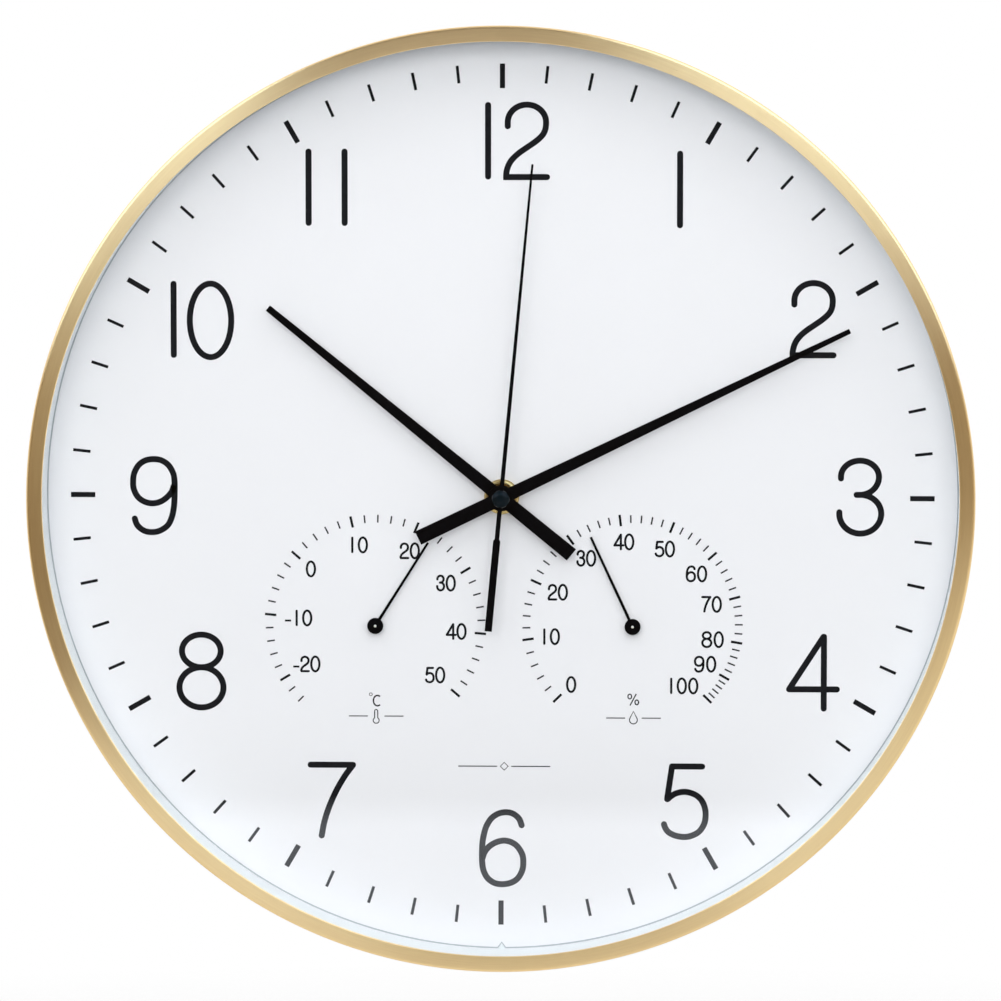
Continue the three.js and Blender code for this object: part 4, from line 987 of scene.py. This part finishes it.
def brushed_gold(name, colour, roughness):
    """Anodised aluminium with a circular brushing: hair lines round the local Z axis."""
    material, paint = new_finish(name)
    across, up, along = components(paint)
    radius = distance(paint, across, up)
    run = radius - along

    def scratches(fineness, stretch, detail, harshness):
        sockets = {"X": run * fineness, "Y": across / radius * stretch, "Z": up / radius * stretch}
        round_axis = paint.node("ShaderNodeCombineXYZ", {}, sockets)
        return noise(paint, round_axis, 1, detail, harshness)

    lines, scores = scratches(16000, 5, 3, 0.65), scratches(2600, 9, 4, 0.7)
    tone = (scores - 0.5) * 1.9 + noise(paint, object_place(paint), 22, 2)
    tint = mottled(paint, tone, colour, 0.93, 1.05)
    others = {"Metallic": 1.0, "Anisotropic": 0.95, "Anisotropic Rotation": 0.25}
    others["Normal"] = relief(paint, lines + scores, 0.28, 0.00001)
    return coat(material, paint, tint, roughness - 0.09 + 0.08 * lines + 0.10 * scores, others)


gold = brushed_gold("brushed_champagne_gold", (0.99, 0.71, 0.35), 0.31)
facing = Matrix.Translation((0, 0, HAND_AXIS)) @ Matrix.Rotation(pi / 2, 4, "X")
spun_frame = add_piece("spun_frame", frame_shape, gold, "case", "gold_aluminium", 40, facing)
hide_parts("bezel_frame")

# Studio. A white room with a pale floor, soft lamps above, in front and behind, and cards round
# the camera, which only the reflections see. One low card only shades the dial's foot.
scene = bpy.context.scene
scene.view_settings.view_transform = "Standard"
world = bpy.data.worlds.new("white_studio")
scene.world = world
world.use_nodes = True
world.node_tree.nodes.clear()
room = Channel(world.node_tree)
rays = room.node("ShaderNodeLightPath", output="Is Camera Ray")
seen = rays + rays.beside("Is Glossy Ray") + rays.beside("Is Transmission Ray")
ambient = 0.44
glow = room.maths("MAXIMUM", room.maths("MINIMUM", seen, 1), ambient)
backdrop = room.node("ShaderNodeBackground", {}, {"Color": (1, 1, 1), "Strength": glow})
room.node("ShaderNodeOutputWorld", {}, {"Surface": backdrop})


def lamp(name, place, width, height, radiance):
    """A soft box: an area lamp of one radiance, aimed at the clock and left out of reflections."""
    light = bpy.data.lights.new(name, "AREA")
    light.shape, light.size, light.size_y = "RECTANGLE", width, height
    light.energy = radiance * pi * width * height
    holder = bpy.data.objects.new(name, light)
    scene.collection.objects.link(holder)
    holder.location = place
    aim = Vector((0, -0.03, HAND_AXIS))
    holder.rotation_euler = (aim - Vector(place)).to_track_quat("-Z", "Y").to_euler()
    holder.visible_glossy = False


lamp("left_soft_box", (-0.6, -1.05, 1.0), 1.9, 1.9, 0.92)
lamp("right_soft_box", (0.6, -1.05, 1.0), 1.9, 1.9, 0.98)
lamp("front_soft_box", (0.0, -2.2, 0.35), 1.8, 0.6, 6.0)
lamp("rear_soft_box", (0.0, 1.3, 0.9), 1.6, 1.6, 1.2)

table_white = (0.94, 0.97, 1.04)


def screen(name, first, second, colour, strength=1.0, depth=-4.0, fade=0.0):
    """A card between two straight edges, each two corners of (right, up), that only reflections
    see. It may fade in from the table's white at its foot."""
    (a, b), (c, d) = first, second
    mesh = bpy.data.meshes.new(name)
    mesh.from_pydata([(x, depth, z) for x, z in (a, b, d, c)], [], [(0, 1, 2, 3)])
    material, paint = new_finish(name + "_cloth")
    if fade:
        height = components(paint)[2]
        colour = blend_colours(paint, (height - a[1]) / fade, table_white, colour)
    glow = paint.node("ShaderNodeEmission", {}, {"Color": colour, "Strength": strength})
    paint.node("ShaderNodeOutputMaterial", {}, {"Surface": glow})
    mesh.materials.append(material)
    card = bpy.data.objects.new(name, mesh)
    scene.collection.objects.link(card)
    for kind in ("camera", "diffuse", "transmission", "shadow"):
        setattr(card, "visible_" + kind, False)
    return card


def level(left, right, height):
    return (left, height), (right, height)


def upright(side, low, high):
    return (side, low), (side, high)


left, right, foot, head, reach = -0.60, 0.36, -0.762, 0.10, 12.0
dark, amber, bronze = (0.02, 0.012, 0.004), (0.17, 0.10, 0.01), (0.30, 0.21, 0.11)
umber, sky_blue = (0.09, 0.035, 0.0), (0.84, 1.02, 1.32)
sides = upright(left, foot, head), upright(right, foot, head)
screen("dark_surround", *sides, dark, fade=0.03)
screen("left_flag", upright(left, -0.70, 0.40), upright(-reach, -7.0, 2.1), amber)
screen("right_flag", upright(right, -0.45, 0.45), upright(reach, -2.6, 2.3), bronze)
screen("top_flag", level(left, right, head), level(-6.8, 1.9, reach), umber)
edges = level(-reach, reach, head), level(-reach, reach, reach)
screen("ceiling", *edges, sky_blue, strength=2.4, depth=-4.4)
edges = level(-1.2, 1.2, -1.0), level(-1.2, 1.2, -0.134)
low_flag = screen("low_flag", *edges, (0, 0, 0), depth=-0.4)
low_flag.visible_glossy = False
low_flag.visible_shadow = True
screen("table", level(-0.8, 0.6, foot), level(-4.4, 3.6, -reach), table_white, depth=-4.2)

floor_mesh = bpy.data.meshes.new("pale_floor")
floor_level, floor_half = -0.42, 1.1
corners = rectangle(-floor_half, floor_half, -floor_half, floor_half)[:4]
floor_mesh.from_pydata([(x, y, floor_level) for x, y in corners], [], [(0, 1, 2, 3)])
floor_paper, paint = new_finish("pale_floor_paper")
across, depth = components(paint)[:2]
spread = distance(paint, across, depth)
direct = paint.node("ShaderNodeLightPath", output="Is Camera Ray")
direct = paint.maths("MINIMUM", direct + direct.beside("Is Glossy Ray"), 1)
whiteness = direct * (0.97 + 0.06 * noise(paint, object_place(paint), 60, 4))
paper = blend_colours(paint, whiteness, (0.25, 0.25, 0.25), (0.90, 0.90, 0.90))
fade = paint.maths("MINIMUM", paint.maths("MAXIMUM", (1.0 - spread) * 1.6, 0), 1)
coat(floor_paper, paint, paper, 0.9, {"Alpha": fade})
floor_mesh.materials.append(floor_paper)
pale_floor = bpy.data.objects.new("pale_floor", floor_mesh)
scene.collection.objects.link(pale_floor)

camera_distance, camera_rise, camera_side = 2.0, radians(5.0), radians(2.13)
camera_data = bpy.data.cameras.new("camera")
camera_data.sensor_width = 36
camera_data.lens = 227.9
camera_data.clip_start, camera_data.clip_end = 0.05, 50
camera = bpy.data.objects.new("camera", camera_data)
scene.collection.objects.link(camera)
aim = Vector((0.00035, -0.040, HAND_AXIS + 0.0005))
offset = Vector(
    (sin(camera_side) * cos(camera_rise), -cos(camera_side) * cos(camera_rise), sin(camera_rise))
)
camera.location = aim + camera_distance * offset
camera.rotation_euler = (aim - camera.location).to_track_quat("-Z", "Y").to_euler()
scene.camera = camera
